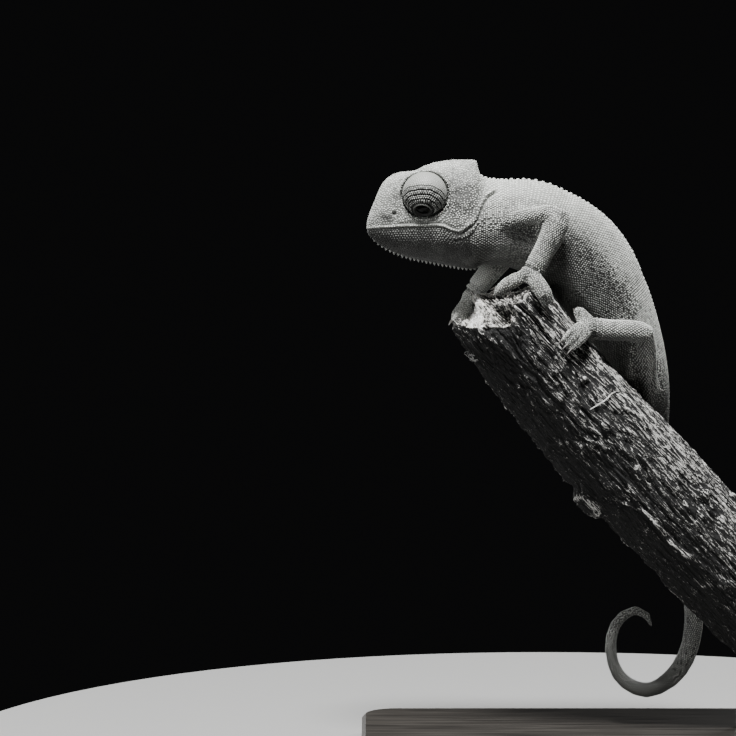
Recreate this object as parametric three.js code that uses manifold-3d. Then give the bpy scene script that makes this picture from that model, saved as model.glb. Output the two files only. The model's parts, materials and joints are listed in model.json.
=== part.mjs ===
// A young veiled chameleon gripping a broken branch, held by a plain display stand.
// Millimetres, +Z up. The animal faces -X and its left side faces -Y.
// The body is swept through stations, parted into named lengths and fitted with a small gap.
import * as THREE from 'three';
import { mergeVertices } from 'three/addons/utils/BufferGeometryUtils.js';
import Module from 'manifold-3d';

const wasm = await Module();
wasm.setup();

// ---- Driving dimensions ----
const GAP = 0.25; // clearance between touching pieces
const BASE = { length: 67, depth: 42, thick: 3.4, corner: 5, bevel: 0.6 };
const ROD = { x: 25.5, y: 3.6, radius: 2 };
const SAW_CUT_X = 31; // the perch is sawn off here
const EYE = { x: -24.1, y: 1.95, z: 84.4, radius: 3.4, wall: 0.5 };
const PUPIL = { radius: 1.32, out: 2.05, aim: [-0.12, 0.64, -0.76] };
const CLAW = { length: 0.95, radius: 0.33 };
const TOE = { root: 1.12, tip: 0.74 };
const SAW_SLACK = 60; // how far cutting blocks reach past what they cut

// Perch: axis stations [x, y, z, radius] from the broken end down to the sawn end
const PERCH = [
  [-16.2, -4.0, 71.8, 7.3],
  [-4.6, -1.7, 56.4, 8.0],
  [8.0, 0.5, 42.6, 8.55],
  [24.0, 3.2, 25.8, 8.3],
  [38.0, 5.6, 11.0, 8.0],
];
// Where the broken rim lies: [degrees round the perch, distance down its axis]
const RIM = [
  [-180, 3.1], [-148, 3.6], [-116, 5.8], [-82, 7.0], [-70, 5.4], [-20, 5.7],
  [20, 6.1], [74, 5.6], [92, 3.8], [105, 1.9], [118, 3.9], [140, 4.5], [180, 3.1],
];
const WORN_RIM = 0.55; // how much thinner the perch is at its broken rim
const HOLLOW = 7.6; // how far down the axis the middle of the broken face lies
const KNOT = { down: 36.2, round: -163, radius: 2.6 };

// Head block: [x, crown z, throat z, half width, how much the crown narrows]
const HEAD = [
  [-32.8, 80.1, 78.9, 0.75, 0.0],
  [-32.45, 81.5, 78.2, 1.55, 0.05],
  [-31.7, 83.3, 77.4, 2.2, 0.1],
  [-30.9, 85.3, 76.8, 2.7, 0.15],
  [-30.1, 86.6, 76.3, 3.0, 0.2],
  [-28.9, 87.5, 75.7, 3.3, 0.25],
  [-27.4, 87.95, 75.1, 3.6, 0.3],
  [-25.6, 88.0, 74.6, 3.85, 0.4],
  [-24.0, 88.9, 74.3, 4.05, 0.5],
  [-22.0, 89.45, 73.9, 4.3, 0.6],
  [-19.8, 89.75, 73.5, 4.5, 0.7],
  [-17.6, 89.75, 73.1, 4.45, 0.76],
  [-16.5, 89.55, 73.1, 4.25, 0.78],
  [-15.85, 88.3, 73.5, 4.1, 0.72],
  [-15.4, 87.1, 73.8, 4.0, 0.6],
  [-14.4, 86.9, 73.9, 3.8, 0.45],
];
// Lines that part the head: the mouth, the back of the cheek and the back of the jaw, as [x, z]
const MOUTH = [[-34, 79.3], [-22.5, 79.55], [-20.6, 79.25], [-18.9, 78.85]];
const CHEEK = [[-18.9, 78.85], [-16.7, 80.7], [-15.7, 83.2], [-14.7, 84.8], [-15.3, 86.9], [-15.3, 92]];
const JAW_BACK = [[-18.9, 78.85], [-17.2, 76.2], [-15.9, 73.2], [-15.7, 71]];

// Neck and trunk: [back x, back z, belly x, belly z, y, half width]
const TRUNK = [
  [-17.4, 86.6, -18.2, 73.4, 0.1, 4.1],
  [-15.0, 86.85, -16.0, 73.8, 0.3, 3.8],
  [-12.6, 86.7, -13.9, 73.7, 0.4, 3.75],
  [-9.6, 86.75, -11.5, 73.4, 0.5, 4.15],
  [-6.6, 86.45, -9.2, 72.5, 0.6, 4.5],
  [-3.0, 85.1, -6.9, 70.8, 1.0, 4.8],
  [0.8, 83.1, -4.7, 68.4, 1.8, 5.0],
  [4.3, 80.4, -2.1, 65.2, 3.0, 5.1],
  [7.4, 76.2, 0.8, 61.7, 4.0, 5.0],
  [9.9, 70.6, 3.0, 58.5, 4.8, 4.65],
  [11.65, 65.1, 5.1, 55.7, 5.3, 4.2],
  [12.9, 59.6, 7.0, 53.2, 5.9, 3.6],
  [13.5, 54.4, 8.6, 50.9, 6.9, 2.9],
  [13.6, 49.6, 9.35, 48.6, 8.3, 2.2],
];
const TRUNK_PARTS = { neck: [0, 2], trunk_fore: [2, 5], trunk_mid: [5, 8.5], trunk_hind: [8.5, 13] };

// Tail: [x, y, z, radius] down the far side of the perch, then round the curl to its tip
const TAIL = [
  [11.45, 8.35, 49.0, 2.1],
  [12.6, 10.2, 44.5, 1.98],
  [14.0, 11.7, 39.8, 1.88],
  [15.2, 12.6, 35.0, 1.8],
  [16.3, 12.4, 30.4, 1.72],
  [17.2, 11.4, 25.8, 1.65],
  [17.65, 9.9, 21.8, 1.58],
  [17.45, 8.3, 17.6, 1.54],
  [16.3, 7.3, 13.7, 1.5],
  [13.9, 6.4, 10.5, 1.42],
  [10.0, 5.5, 8.75, 1.27],
  [6.0, 4.8, 10.8, 1.11],
  [4.4, 4.2, 15.2, 0.97],
  [5.2, 3.8, 19.3, 0.88],
  [7.9, 3.4, 21.4, 0.78],
  [10.0, 3.2, 20.4, 0.62],
  [10.6, 3.2, 18.7, 0.4],
];
const TAIL_CUTS = [0, 2.5, 5, 7.5, 9.5, 11.5, 16]; // station numbers where the tail is parted

// Limbs: each length is a list of [x, y, z, radius]
const LIMBS = {
  arm_left: {
    upper: [
      [-13.5, -2.0, 79.8, 1.6], [-10.6, -3.7, 80.7, 1.32],
      [-7.4, -5.0, 81.35, 1.32], [-3.9, -5.8, 81.6, 1.7],
    ],
    lower: [
      [-3.8, -5.9, 82.1, 1.85], [-5.4, -5.9, 78.2, 1.94],
      [-7.05, -5.8, 75.1, 1.62], [-8.5, -5.95, 72.4, 1.7],
    ],
    palm: [[-8.15, -5.9, 73.5, 1.75], [-8.5, -6.0, 72.45, 1.95], [-8.75, -6.1, 71.4, 1.6]],
  },
  arm_right: {
    upper: [[-13.0, 2.6, 79.8, 1.95], [-10.9, 4.7, 78.9, 1.75], [-9.5, 5.9, 77.2, 1.75]],
    lower: [
      [-9.4, 5.9, 77.4, 1.8], [-12.0, 5.9, 74.9, 1.88],
      [-14.7, 5.4, 72.0, 1.8], [-16.8, 5.08, 69.1, 1.6],
    ],
    palm: [[-16.5, 5.1, 69.6, 1.62], [-17.1, 5.0, 68.4, 1.65], [-17.2, 4.9, 67.3, 1.25]],
  },
  leg_left: {
    upper: [
      [10.5, 5.0, 52.6, 1.9], [9.6, 3.0, 56.6, 1.76],
      [9.15, 0.4, 61.0, 1.7], [9.15, -1.4, 64.3, 1.7],
    ],
    lower: [
      [9.95, -1.4, 63.5, 1.74], [6.5, -2.7, 64.1, 1.7],
      [3.4, -3.5, 64.2, 1.68], [-0.2, -4.4, 64.6, 1.66],
    ],
    palm: [[1.1, -3.9, 64.5, 1.65], [-0.2, -4.4, 64.7, 1.85], [-1.2, -5.4, 64.3, 1.5]],
  },
  leg_right: {
    upper: [[11.2, 8.4, 52.4, 1.85], [11.1, 11.4, 55.2, 1.75], [9.8, 13.3, 59.6, 1.68]],
    lower: [[9.9, 13.4, 59.7, 1.66], [7.2, 12.6, 58.4, 1.66], [3.5, 9.3, 55.5, 1.6]],
    palm: [[4.4, 10.1, 56.3, 1.6], [3.3, 9.1, 55.3, 1.7], [2.7, 8.4, 54.4, 1.4]],
  },
};
// Toe bundles: the front and back halves of each grip. A path point [down, round, lift] lies on
// the perch, by distance down it, degrees round it and height over the bark; { at } is a free point.
// step is the distance between neighbouring toes, and across says which way they are spread.
const GRIPS = {
  arm_left: {
    front: {
      toes: 3, step: 0.78, across: [0.2, 0.75, 0.63],
      path: [{ at: [-8.9, -6.1, 72.5] }, { at: [-10.6, -5.7, 71.8] }, { at: [-12.3, -4.4, 70.8] },
        { at: [-13.7, -2.8, 69.85] }],
    },
    back: {
      toes: 2, step: 1.25, across: [0.85, -0.25, 0.45],
      path: [{ at: [-8.4, -6.5, 72.0] }, [5.5, -41.5, 1.3], [7.2, -43.4, 1.15], [8.5, -44.8, 0.95]],
    },
  },
  arm_right: {
    front: {
      toes: 3, step: 0.8, across: [0.67, 0.12, -0.74],
      path: [[3.4, 104, 1.5], [3.7, 120, 1.25], [4.1, 134, 1.05], [4.5, 146, 0.85]],
    },
    back: {
      toes: 2, step: 0.98, across: [0.55, -0.2, 0.7],
      path: [[3.8, 100, 1.5], [5.6, 106, 1.25], [7.2, 112, 1.05], [8.4, 118, 0.9]],
    },
  },
  leg_left: {
    front: {
      toes: 2, step: 0.95, across: [0.5, -0.75, 0.3],
      path: [{ at: [-0.2, -4.4, 65.2] }, { at: [-0.5, -4.25, 66.0] }, { at: [-1.15, -3.8, 66.85] },
        { at: [-1.6, -2.9, 67.3] }],
    },
    back: {
      toes: 3, step: 0.95, across: [0.67, 0.12, -0.74],
      path: [{ at: [-0.6, -5.0, 64.6] }, [14.7, -36, 1.4], [14.55, -50, 1.2], [14.6, -61, 0.95]],
    },
  },
  leg_right: {
    front: {
      toes: 2, step: 0.95, across: [0.67, 0.12, -0.74],
      path: [[25.2, 58, 1.4], [24.0, 50, 1.15], [22.9, 42, 0.95], [22.2, 37, 0.85]],
    },
    back: {
      toes: 3, step: 0.98, across: [0.67, 0.12, -0.74],
      path: [[25.9, 66, 1.5], [26.2, 82, 1.15], [26.3, 97, 0.95], [26.4, 109, 0.85]],
    },
  },
};

// ---- Materials ----
function finish(color, roughness, metalness = 0) {
  return new THREE.MeshStandardMaterial({ color, roughness, metalness });
}

const SKIN = finish(0xb4b5ac, 0.75);
const EYEBALL = finish(0x0c0b0a, 0.12);
const HORN = finish(0x2c2a27, 0.5);
const BARK = finish(0x6c6861, 0.95);
const BASE_WOOD = finish(0x3a3632, 0.55);
const STEEL = finish(0xa9acae, 0.35, 1);

// ---- Solids ----
const vector = ([x, y, z]) => new THREE.Vector3(x, y, z);
const curveThrough = (points) => new THREE.CatmullRomCurve3(points.map(vector));
const valuesThrough = (values) => {
  const line = new THREE.SplineCurve(values.map((value, i) => new THREE.Vector2(i, value)));
  return (t) => line.getPoint(t).y;
};

// Turns a closed geometry into a manifold solid with its faces pointing out
function solid(geometry) {
  geometry.deleteAttribute('normal');
  geometry.deleteAttribute('uv');
  const merged = mergeVertices(geometry, 1e-4);
  const at = merged.attributes.position;
  const corner = [0, 1, 2].map(() => new THREE.Vector3());
  const triangles = [];
  let volume = 0;
  for (let i = 0; i < merged.index.count; i += 3) {
    const [a, b, c] = [0, 1, 2].map((k) => merged.index.getX(i + k));
    if (a === b || b === c || c === a) continue;
    triangles.push([a, b, c]);
    [a, b, c].forEach((index, k) => corner[k].fromBufferAttribute(at, index));
    volume += corner[0].dot(corner[1].cross(corner[2]));
  }
  const facing = volume < 0 ? triangles.map(([a, b, c]) => [a, c, b]) : triangles;
  const triVerts = Uint32Array.from(facing.flat());
  return new wasm.Manifold(new wasm.Mesh({ numProp: 3, vertProperties: at.array, triVerts }));
}

// A closed skin round a path: place(t, angle, reach) puts each point of a unit cylinder
function swept(sides, steps, place) {
  const cylinder = new THREE.CylinderGeometry(1, 1, 1, sides, steps);
  const at = cylinder.attributes.position;
  for (let i = 0; i < at.count; i += 1) {
    const angle = Math.atan2(at.getX(i), at.getZ(i));
    const reach = Math.hypot(at.getX(i), at.getZ(i));
    const point = place(0.5 - at.getY(i), angle, reach);
    at.setXYZ(i, point.x, point.y, point.z);
  }
  return solid(cylinder);
}

// A round length through [x, y, z, radius] stations; round says which ends are rounded over
function tube(stations, { sides = 9, steps = 5, grow = 0, round = [true, true], span = [0, 1] } = {}) {
  const path = curveThrough(stations);
  const radiusAt = valuesThrough(stations.map((station) => station[3]));
  path.arcLengthDivisions = 400;
  const length = path.getLength();
  const frames = path.computeFrenetFrames(240);
  return swept(sides, steps, (t, angle, reach) => {
    const u = span[0] + (span[1] - span[0]) * t;
    const k = Math.round(u * 240);
    const full = radiusAt(path.getUtoTmapping(u)) + grow;
    const near = [round[0] ? t : 1, round[1] ? 1 - t : 1].map((s) => (s * length) / full + 0.22);
    const shrink = near.reduce((f, s) => f * Math.sqrt(1 - (1 - Math.min(s, 1)) ** 2), 1);
    const past = (t === 1 ? grow : 0) - (t === 0 ? grow : 0);
    return path.getPointAt(u)
      .addScaledVector(frames.tangents[k], past)
      .addScaledVector(frames.normals[k], full * shrink * reach * Math.cos(angle))
      .addScaledVector(frames.binormals[k], full * shrink * reach * Math.sin(angle));
  });
}

// A prism right across the animal over an outline of [x, z] points
function prism(outline) {
  const shape = new THREE.Shape(outline.map(([x, z]) => new THREE.Vector2(x, z)));
  const block = new THREE.ExtrudeGeometry(shape, { depth: SAW_SLACK, bevelEnabled: false });
  block.rotateX(Math.PI / 2).translate(0, SAW_SLACK / 2, 0);
  return solid(block);
}

function block(x, y, z, centre) {
  return solid(new THREE.BoxGeometry(x, y, z).translate(...centre));
}

function ball(radius, centre, sides = 20) {
  return solid(new THREE.SphereGeometry(radius, sides, Math.round(sides * 0.6)).translate(...centre));
}

// ---- Perch ----
const perchAxis = curveThrough(PERCH);
const perchRadius = valuesThrough(PERCH.map((station) => station[3]));
const perchLength = perchAxis.getLength();

// A point by distance down the perch, degrees round it from its upper side, and height over the bark
function onPerch(down, degrees, lift) {
  const u = down / perchLength;
  const along = perchAxis.getTangentAt(u);
  const upper = new THREE.Vector3().crossVectors(along, vector([0, 1, 0])).normalize();
  const far = new THREE.Vector3().crossVectors(upper, along);
  far.multiplyScalar(Math.sign(far.y));
  const turn = THREE.MathUtils.degToRad(degrees);
  const radius = perchRadius(perchAxis.getUtoTmapping(u)) + lift;
  return perchAxis.getPointAt(u)
    .addScaledVector(upper, radius * Math.cos(turn))
    .addScaledVector(far, radius * Math.sin(turn));
}

function rimAt(degrees) {
  const next = RIM.findIndex(([turn]) => turn >= degrees);
  if (next < 1) return RIM[0][1];
  const [from, to] = [RIM[next - 1], RIM[next]];
  return THREE.MathUtils.mapLinear(degrees, from[0], to[0], from[1], to[1]);
}

function perch(grow) {
  const last = perchLength - 0.5;
  const wood = swept(23, 12, (t, angle, reach) => {
    const degrees = THREE.MathUtils.radToDeg(angle);
    const rim = rimAt(degrees) - grow;
    if (reach < 0.5) return perchAxis.getPointAt((t < 0.5 ? HOLLOW - grow : last) / perchLength);
    const worn = t === 0 ? WORN_RIM : 0;
    return onPerch(rim + (last - rim) * t ** 1.25, degrees, grow - worn);
  });
  const knot = ball(KNOT.radius + grow, onPerch(KNOT.down, KNOT.round, -0.3).toArray(), 12);
  const spare = block(SAW_SLACK, SAW_SLACK, SAW_SLACK, [SAW_CUT_X + grow + SAW_SLACK / 2, 0, 10]);
  return wood.add(knot).subtract(spare);
}

const perchSpace = perch(GAP);

// ---- Head, neck and trunk ----
function headBlock() {
  const columns = [0, 1, 2, 3, 4].map((column) => valuesThrough(HEAD.map((row) => row[column])));
  const [x, crown, throat, half, narrow] = columns;
  return swept(18, 21, (t, angle, reach) => {
    const height = Math.sign(Math.cos(angle)) * Math.abs(Math.cos(angle)) ** 0.9 * reach;
    const side = Math.sign(Math.sin(angle)) * Math.abs(Math.sin(angle)) ** 0.85 * reach;
    const pinch = 1 - narrow(t) * ((1 + height) / 2) ** 2 - 0.25 * ((1 - height) / 2) ** 3;
    const middle = (crown(t) + throat(t)) / 2;
    const rise = (crown(t) - throat(t)) / 2;
    return new THREE.Vector3(x(t), half(t) * side * pinch, middle + rise * height);
  });
}

function trunkBlock(from, to, sides = 21, grow = 0) {
  const back = curveThrough(TRUNK.map(([x, z, , , y]) => [x, y, z]));
  const belly = curveThrough(TRUNK.map(([, , x, z, y]) => [x, y, z]));
  const half = valuesThrough(TRUNK.map((row) => row[5]));
  const last = TRUNK.length - 1;
  const steps = Math.ceil((to - from) * 2);
  return swept(sides, steps, (t, angle, reach) => {
    const s = (from + (to - from) * t) / last;
    const top = back.getPoint(s);
    const low = belly.getPoint(s);
    const rise = top.clone().sub(low).multiplyScalar(0.5);
    rise.setLength(rise.length() + grow);
    const side = Math.sign(Math.sin(angle)) * Math.abs(Math.sin(angle)) ** 1.12;
    const point = top.add(low).multiplyScalar(0.5).addScaledVector(rise, reach * Math.cos(angle));
    point.y += reach * side * (half(s) + grow) * (1 - 0.12 * Math.cos(angle));
    return point;
  });
}

const below = (line, by) => line.map(([x, z]) => [x, z - by]);
const behind = (line, by) => line.map(([x, z]) => [x + by, z]);
const rowAhead = (row, by) => [[row[0] - by, row[1]], [row[2] - by, row[3]]];

function headParts() {
  const whole = headBlock();
  const head = prism([...MOUTH, ...CHEEK.slice(1), [-34, 92]]);
  const jaw = prism([...below(MOUTH, GAP), ...JAW_BACK.slice(1), [-34, 71]]);
  const seam = TRUNK[TRUNK_PARTS.neck[1]];
  const [seamBack, seamBelly] = rowAhead(seam, GAP);
  const lean = (seamBack[0] - seamBelly[0]) / (seamBack[1] - seamBelly[1]);
  const seamAt = (z) => [seamBack[0] + lean * (z - seamBack[1]), z];
  const neck = prism([
    ...behind(JAW_BACK, GAP * 1.2).reverse(), ...behind(CHEEK, GAP * 1.2).slice(1), seamAt(92), seamAt(71),
  ]);
  const throat = trunkBlock(...TRUNK_PARTS.neck).add(trunkBlock(1, 3));
  return {
    head: whole.intersect(head),
    jaw_lower: whole.intersect(jaw),
    neck: whole.add(throat).intersect(neck),
  };
}

// ---- Eyes ----
function eyeParts(side) {
  const centre = [EYE.x, EYE.y * side, EYE.z];
  const aim = new THREE.Vector3(PUPIL.aim[0], PUPIL.aim[1] * side, PUPIL.aim[2]).normalize();
  const pupil = vector(centre).addScaledVector(aim, PUPIL.out).toArray();
  const inward = (wall) => block(20, 20, 20, [EYE.x, side * (wall - 10), EYE.z]);
  const socket = ball(EYE.radius + GAP * 0.8, centre, 14).subtract(inward(EYE.wall));
  const dome = ball(EYE.radius, centre, 14).subtract(inward(EYE.wall + GAP));
  return {
    socket,
    turret: dome.subtract(ball(PUPIL.radius + GAP, pupil, 12)),
    eyeball: ball(PUPIL.radius, pupil, 10),
  };
}

// ---- Limbs and grips ----
const pathPoint = (point) => (Array.isArray(point) ? onPerch(...point) : vector(point.at));

function toes(grip, grow = 0) {
  const path = grip.path.map(pathPoint);
  const last = path.length - 1;
  const spread = vector(grip.across).normalize();
  return [...Array(grip.toes).keys()].map((k) => {
    const place = k - (grip.toes - 1) / 2;
    const stations = path.map((point, i) => {
      const open = grip.step * (0.55 + (0.45 * i) / last);
      const shorter = i === last ? 1 - 0.1 * Math.abs(place) : 1;
      const radius = THREE.MathUtils.lerp(TOE.root, TOE.tip, i / last) * shorter;
      return [...point.clone().addScaledVector(spread, place * open), radius];
    });
    const end = vector(stations[last]);
    const aim = end.clone().sub(vector(stations[last - 1])).normalize();
    return { body: tube(stations, { sides: 6, steps: 3, grow }), end, aim };
  });
}

function claw(toe, lift) {
  const cone = new THREE.ConeGeometry(CLAW.radius, CLAW.length, 5);
  cone.translate(0, CLAW.length / 2, 0);
  const aim = toe.aim.clone().addScaledVector(lift, 0.25).normalize();
  cone.applyQuaternion(new THREE.Quaternion().setFromUnitVectors(vector([0, 1, 0]), aim));
  const root = toe.end.clone().addScaledVector(aim, GAP * 0.6);
  return solid(cone.translate(...root));
}

// ---- Assembly ----
const chameleon = new THREE.Group();

// Adds the largest piece of a cut body as a named mesh; a cut can leave a loose splinter
function add(name, body, material) {
  const largest = body.decompose().reduce((a, b) => (b.volume() > a.volume() ? b : a));
  const { numProp, vertProperties, triVerts } = largest.getMesh();
  const geometry = new THREE.BufferGeometry();
  geometry.setAttribute('position', new THREE.InterleavedBufferAttribute(
    new THREE.InterleavedBuffer(vertProperties, numProp), 3, 0));
  geometry.setIndex(new THREE.BufferAttribute(triVerts, 1));
  geometry.computeVertexNormals();
  const mesh = new THREE.Mesh(geometry, material);
  mesh.name = name;
  chameleon.add(mesh);
}

function addHeadAndEyes() {
  const sides = { left: -1, right: 1 };
  const eyes = Object.entries(sides).map(([name, side]) => [name, eyeParts(side)]);
  const parts = headParts();
  const sockets = eyes.map(([, eye]) => eye.socket);
  add('head', sockets.reduce((head, socket) => head.subtract(socket), parts.head), SKIN);
  add('jaw_lower', parts.jaw_lower, SKIN);
  add('neck', parts.neck, SKIN);
  eyes.forEach(([name, eye]) => {
    add(`eye_turret_${name}`, eye.turret, SKIN);
    add(`eyeball_${name}`, eye.eyeball, EYEBALL);
  });
}

function addTrunk() {
  Object.entries(TRUNK_PARTS).slice(1).forEach(([name, [from, to]]) => {
    const seam = name === 'trunk_fore' ? 0 : 0.08;
    add(name, trunkBlock(from + seam, to).subtract(perchSpace), SKIN);
  });
}

function addTail() {
  const path = curveThrough(TAIL);
  path.arcLengthDivisions = 400;
  const lengths = path.getLengths(400);
  const total = lengths[400];
  const fraction = (station) => lengths[Math.round((station / (TAIL.length - 1)) * 400)] / total;
  TAIL_CUTS.slice(1).forEach((to, i) => {
    const span = [fraction(TAIL_CUTS[i]) + GAP / total, fraction(to)];
    const last = i === TAIL_CUTS.length - 2;
    const steps = Math.ceil(((span[1] - span[0]) * total) / 2.2);
    const body = tube(TAIL, { steps, span, round: [false, last] });
    const clear = i === 0 ? body.subtract(trunkBlock(9, TRUNK.length - 1, 16, GAP)) : body;
    add(`tail_${i + 1}`, clear.subtract(perchSpace), SKIN);
  });
}

function addLimb(name, lengths) {
  const arm = name.startsWith('arm');
  const side = name.split('_')[1];
  const end = arm ? `hand_${side}` : `foot_${side}`;
  const trunkSpace = trunkBlock(0, TRUNK.length - 1, 16, GAP);
  const grown = Object.fromEntries(
    Object.entries(lengths).map(([key, list]) => [key, tube(list, { grow: GAP, steps: list.length })]));
  const [upperName, lowerName] = arm ? ['upper', 'forearm'] : ['thigh', 'shank'];
  add(`${name}_${upperName}`, tube(lengths.upper).subtract(grown.lower).subtract(trunkSpace), SKIN);
  const lower = tube(lengths.lower).subtract(grown.palm);
  add(`${name}_${lowerName}`, lower.subtract(trunkSpace).subtract(perchSpace), SKIN);
  const fronts = toes(GRIPS[name].front, GAP).map((toe) => toe.body).reduce((a, b) => a.add(b));
  add(`${end}_palm`, tube(lengths.palm, { steps: lengths.palm.length }).subtract(perchSpace), SKIN);
  Object.entries(GRIPS[name]).forEach(([half, grip]) => {
    const digits = toes(grip);
    const bundle = digits.map((toe) => toe.body).reduce((a, b) => a.add(b));
    const clawSpace = toes(grip, GAP * 0.3).map((toe) => toe.body).reduce((a, b) => a.add(b));
    const clear = half === 'back' ? bundle.subtract(fronts) : bundle;
    add(`${end}_toes_${half}`, clear.subtract(grown.palm).subtract(trunkSpace).subtract(perchSpace), SKIN);
    const out = digits[0].end.clone().sub(perchAxis.getPointAt(0.2)).normalize();
    digits.forEach((toe, k) => {
      const horn = claw(toe, out).subtract(clawSpace).subtract(trunkSpace).subtract(perchSpace);
      add(`claw_${end}_${half}_${k + 1}`, horn, HORN);
    });
  });
}

function addStand() {
  const { length, depth, thick, corner, bevel } = BASE;
  const [x, y] = [length / 2 - bevel, depth / 2 - bevel];
  const outline = new THREE.Shape();
  [[x, y], [-x, y], [-x, -y], [x, -y]].forEach(([cx, cy], i) => {
    const [inX, inY] = [cx - Math.sign(cx) * corner, cy - Math.sign(cy) * corner];
    outline.absarc(inX, inY, corner, (i * Math.PI) / 2, ((i + 1) * Math.PI) / 2);
  });
  const plate = new THREE.ExtrudeGeometry(outline, {
    depth: thick - bevel, bevelThickness: bevel, bevelSize: bevel, bevelSegments: 1, curveSegments: 4,
  });
  const cut = block(SAW_SLACK * 2, SAW_SLACK * 2, bevel * 4, [0, 0, -bevel * 2]);
  add('stand_base', solid(plate).subtract(cut), BASE_WOOD);
  const rod = new THREE.CylinderGeometry(ROD.radius, ROD.radius, 20, 16);
  rod.rotateX(Math.PI / 2).translate(ROD.x, ROD.y, thick + GAP / 2 + 10);
  add('stand_rod', solid(rod).subtract(perchSpace), STEEL);
}

addHeadAndEyes();
addTrunk();
addTail();
Object.entries(LIMBS).forEach(([name, lengths]) => addLimb(name, lengths));
add('branch', perch(0), BARK);
addStand();

export default chameleon;
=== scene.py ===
import json
import math
import bmesh
import bpy
import numpy as np
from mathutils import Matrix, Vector, kdtree, noise
from mathutils.bvhtree import BVHTree


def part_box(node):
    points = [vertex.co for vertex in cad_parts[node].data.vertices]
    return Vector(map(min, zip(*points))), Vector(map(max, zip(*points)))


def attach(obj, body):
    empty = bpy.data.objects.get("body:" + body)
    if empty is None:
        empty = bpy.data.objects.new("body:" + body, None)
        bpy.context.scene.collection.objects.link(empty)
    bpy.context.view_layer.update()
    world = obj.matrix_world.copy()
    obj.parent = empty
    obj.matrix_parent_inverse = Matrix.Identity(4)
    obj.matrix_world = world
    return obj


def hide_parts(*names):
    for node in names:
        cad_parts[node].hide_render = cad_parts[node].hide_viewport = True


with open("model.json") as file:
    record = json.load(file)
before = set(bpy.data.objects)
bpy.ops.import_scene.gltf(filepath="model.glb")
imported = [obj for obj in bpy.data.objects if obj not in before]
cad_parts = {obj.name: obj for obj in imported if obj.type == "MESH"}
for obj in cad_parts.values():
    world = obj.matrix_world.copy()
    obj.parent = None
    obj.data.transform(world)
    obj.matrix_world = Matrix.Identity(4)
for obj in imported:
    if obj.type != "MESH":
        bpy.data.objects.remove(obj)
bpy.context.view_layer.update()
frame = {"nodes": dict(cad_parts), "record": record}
bpy.ops.object.select_all(action="DESELECT")

# ---- Camera ----
# A long lens looks along +Y and a little down, at the animal's left side. The frame runs from
# well ahead of the snout to just short of the sawn end of the perch.
LENS = 136.96
CAMERA_AWAY = 0.41942
LOOK_DOWN = math.radians(3)
head_low, head_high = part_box("head")
bpy.ops.object.camera_add(
    location=(head_low.x + 0.00025, -CAMERA_AWAY, head_high.z - 0.0094),
    rotation=(math.pi / 2 - LOOK_DOWN, 0, 0),
)
camera = bpy.context.object
camera.name = "camera"
camera.data.lens = LENS
camera.data.sensor_width = 36
camera.data.clip_start = 0.02
camera.data.clip_end = 20
bpy.context.scene.camera = camera

# ---- Skin ----
# One soft skin over the head, jaw, neck, trunk, tail, limbs and toes, cast in one pull. It is
# remeshed from the flesh solids, smoothed, and sunk under them by the depth of its scales.
MM = 0.001
SCALE_DEPTH = 0.10 * MM
SEAM_FILL = 0.20 * MM
WEB_FILL = 0.26 * MM  # fills the webs between toes and at the joints
SKIN_CELL = 0.31 * MM

flesh = [
    part["node"]
    for part in frame["record"]["subparts"]
    if part["material_slot"] == "skin" and not part["node"].startswith("eye_turret")
]


def points_of(mesh):
    flat = np.empty(len(mesh.vertices) * 3)
    mesh.vertices.foreach_get("co", flat)
    return flat.reshape(-1, 3)


def place_points(mesh, points):
    mesh.vertices.foreach_set("co", points.ravel())
    mesh.update()


def normals_of(mesh):
    flat = np.empty(len(mesh.vertices) * 3, dtype=np.float32)
    mesh.vertex_normals.foreach_get("vector", flat)
    return flat.reshape(-1, 3).astype(float)


def push_out(depth):
    """Moves the skin along its own normals, by metres."""
    place_points(skin.data, points_of(skin.data) + depth * normals_of(skin.data))


def neighbour_mean(mesh, values):
    ends = np.empty(len(mesh.edges) * 2, dtype=np.int32)
    mesh.edges.foreach_get("vertices", ends)
    a, b = ends.reshape(-1, 2).T
    count = len(values)
    degree = np.maximum(np.bincount(a, minlength=count) + np.bincount(b, minlength=count), 1)
    sums = [np.bincount(a, v[b], count) + np.bincount(b, v[a], count) for v in values.T]
    return np.stack(sums, axis=1) / degree[:, None]


def smooth(mesh, rounds):
    points = points_of(mesh)
    for push in (0.55, -0.57) * rounds:
        points += push * (neighbour_mean(mesh, points) - points)
    place_points(mesh, points)


for node in flesh:
    part = frame["nodes"][node].copy()
    part.data = part.data.copy()
    bpy.context.collection.objects.link(part)
    part.select_set(True)
    bpy.context.view_layer.objects.active = part
bpy.ops.object.join()
skin = bpy.context.object
skin.name = "skin"
skin.data.name = "skin"
skin.parent = None
bpy.ops.object.mode_set(mode="EDIT")
bpy.ops.mesh.select_all(action="SELECT")
bpy.ops.mesh.remove_doubles(threshold=1e-6)
bpy.ops.object.mode_set(mode="OBJECT")
for swell, rounds in ((SEAM_FILL, 3), (WEB_FILL, 8)):
    push_out(swell)
    remesh = skin.modifiers.new("one_skin", "REMESH")
    remesh.mode = "VOXEL"
    remesh.voxel_size = SKIN_CELL
    bpy.ops.object.modifier_apply(modifier=remesh.name)
    smooth(skin.data, rounds)
for _ in range(3):
    push_out(-(SEAM_FILL + WEB_FILL + SCALE_DEPTH) / 3)

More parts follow.
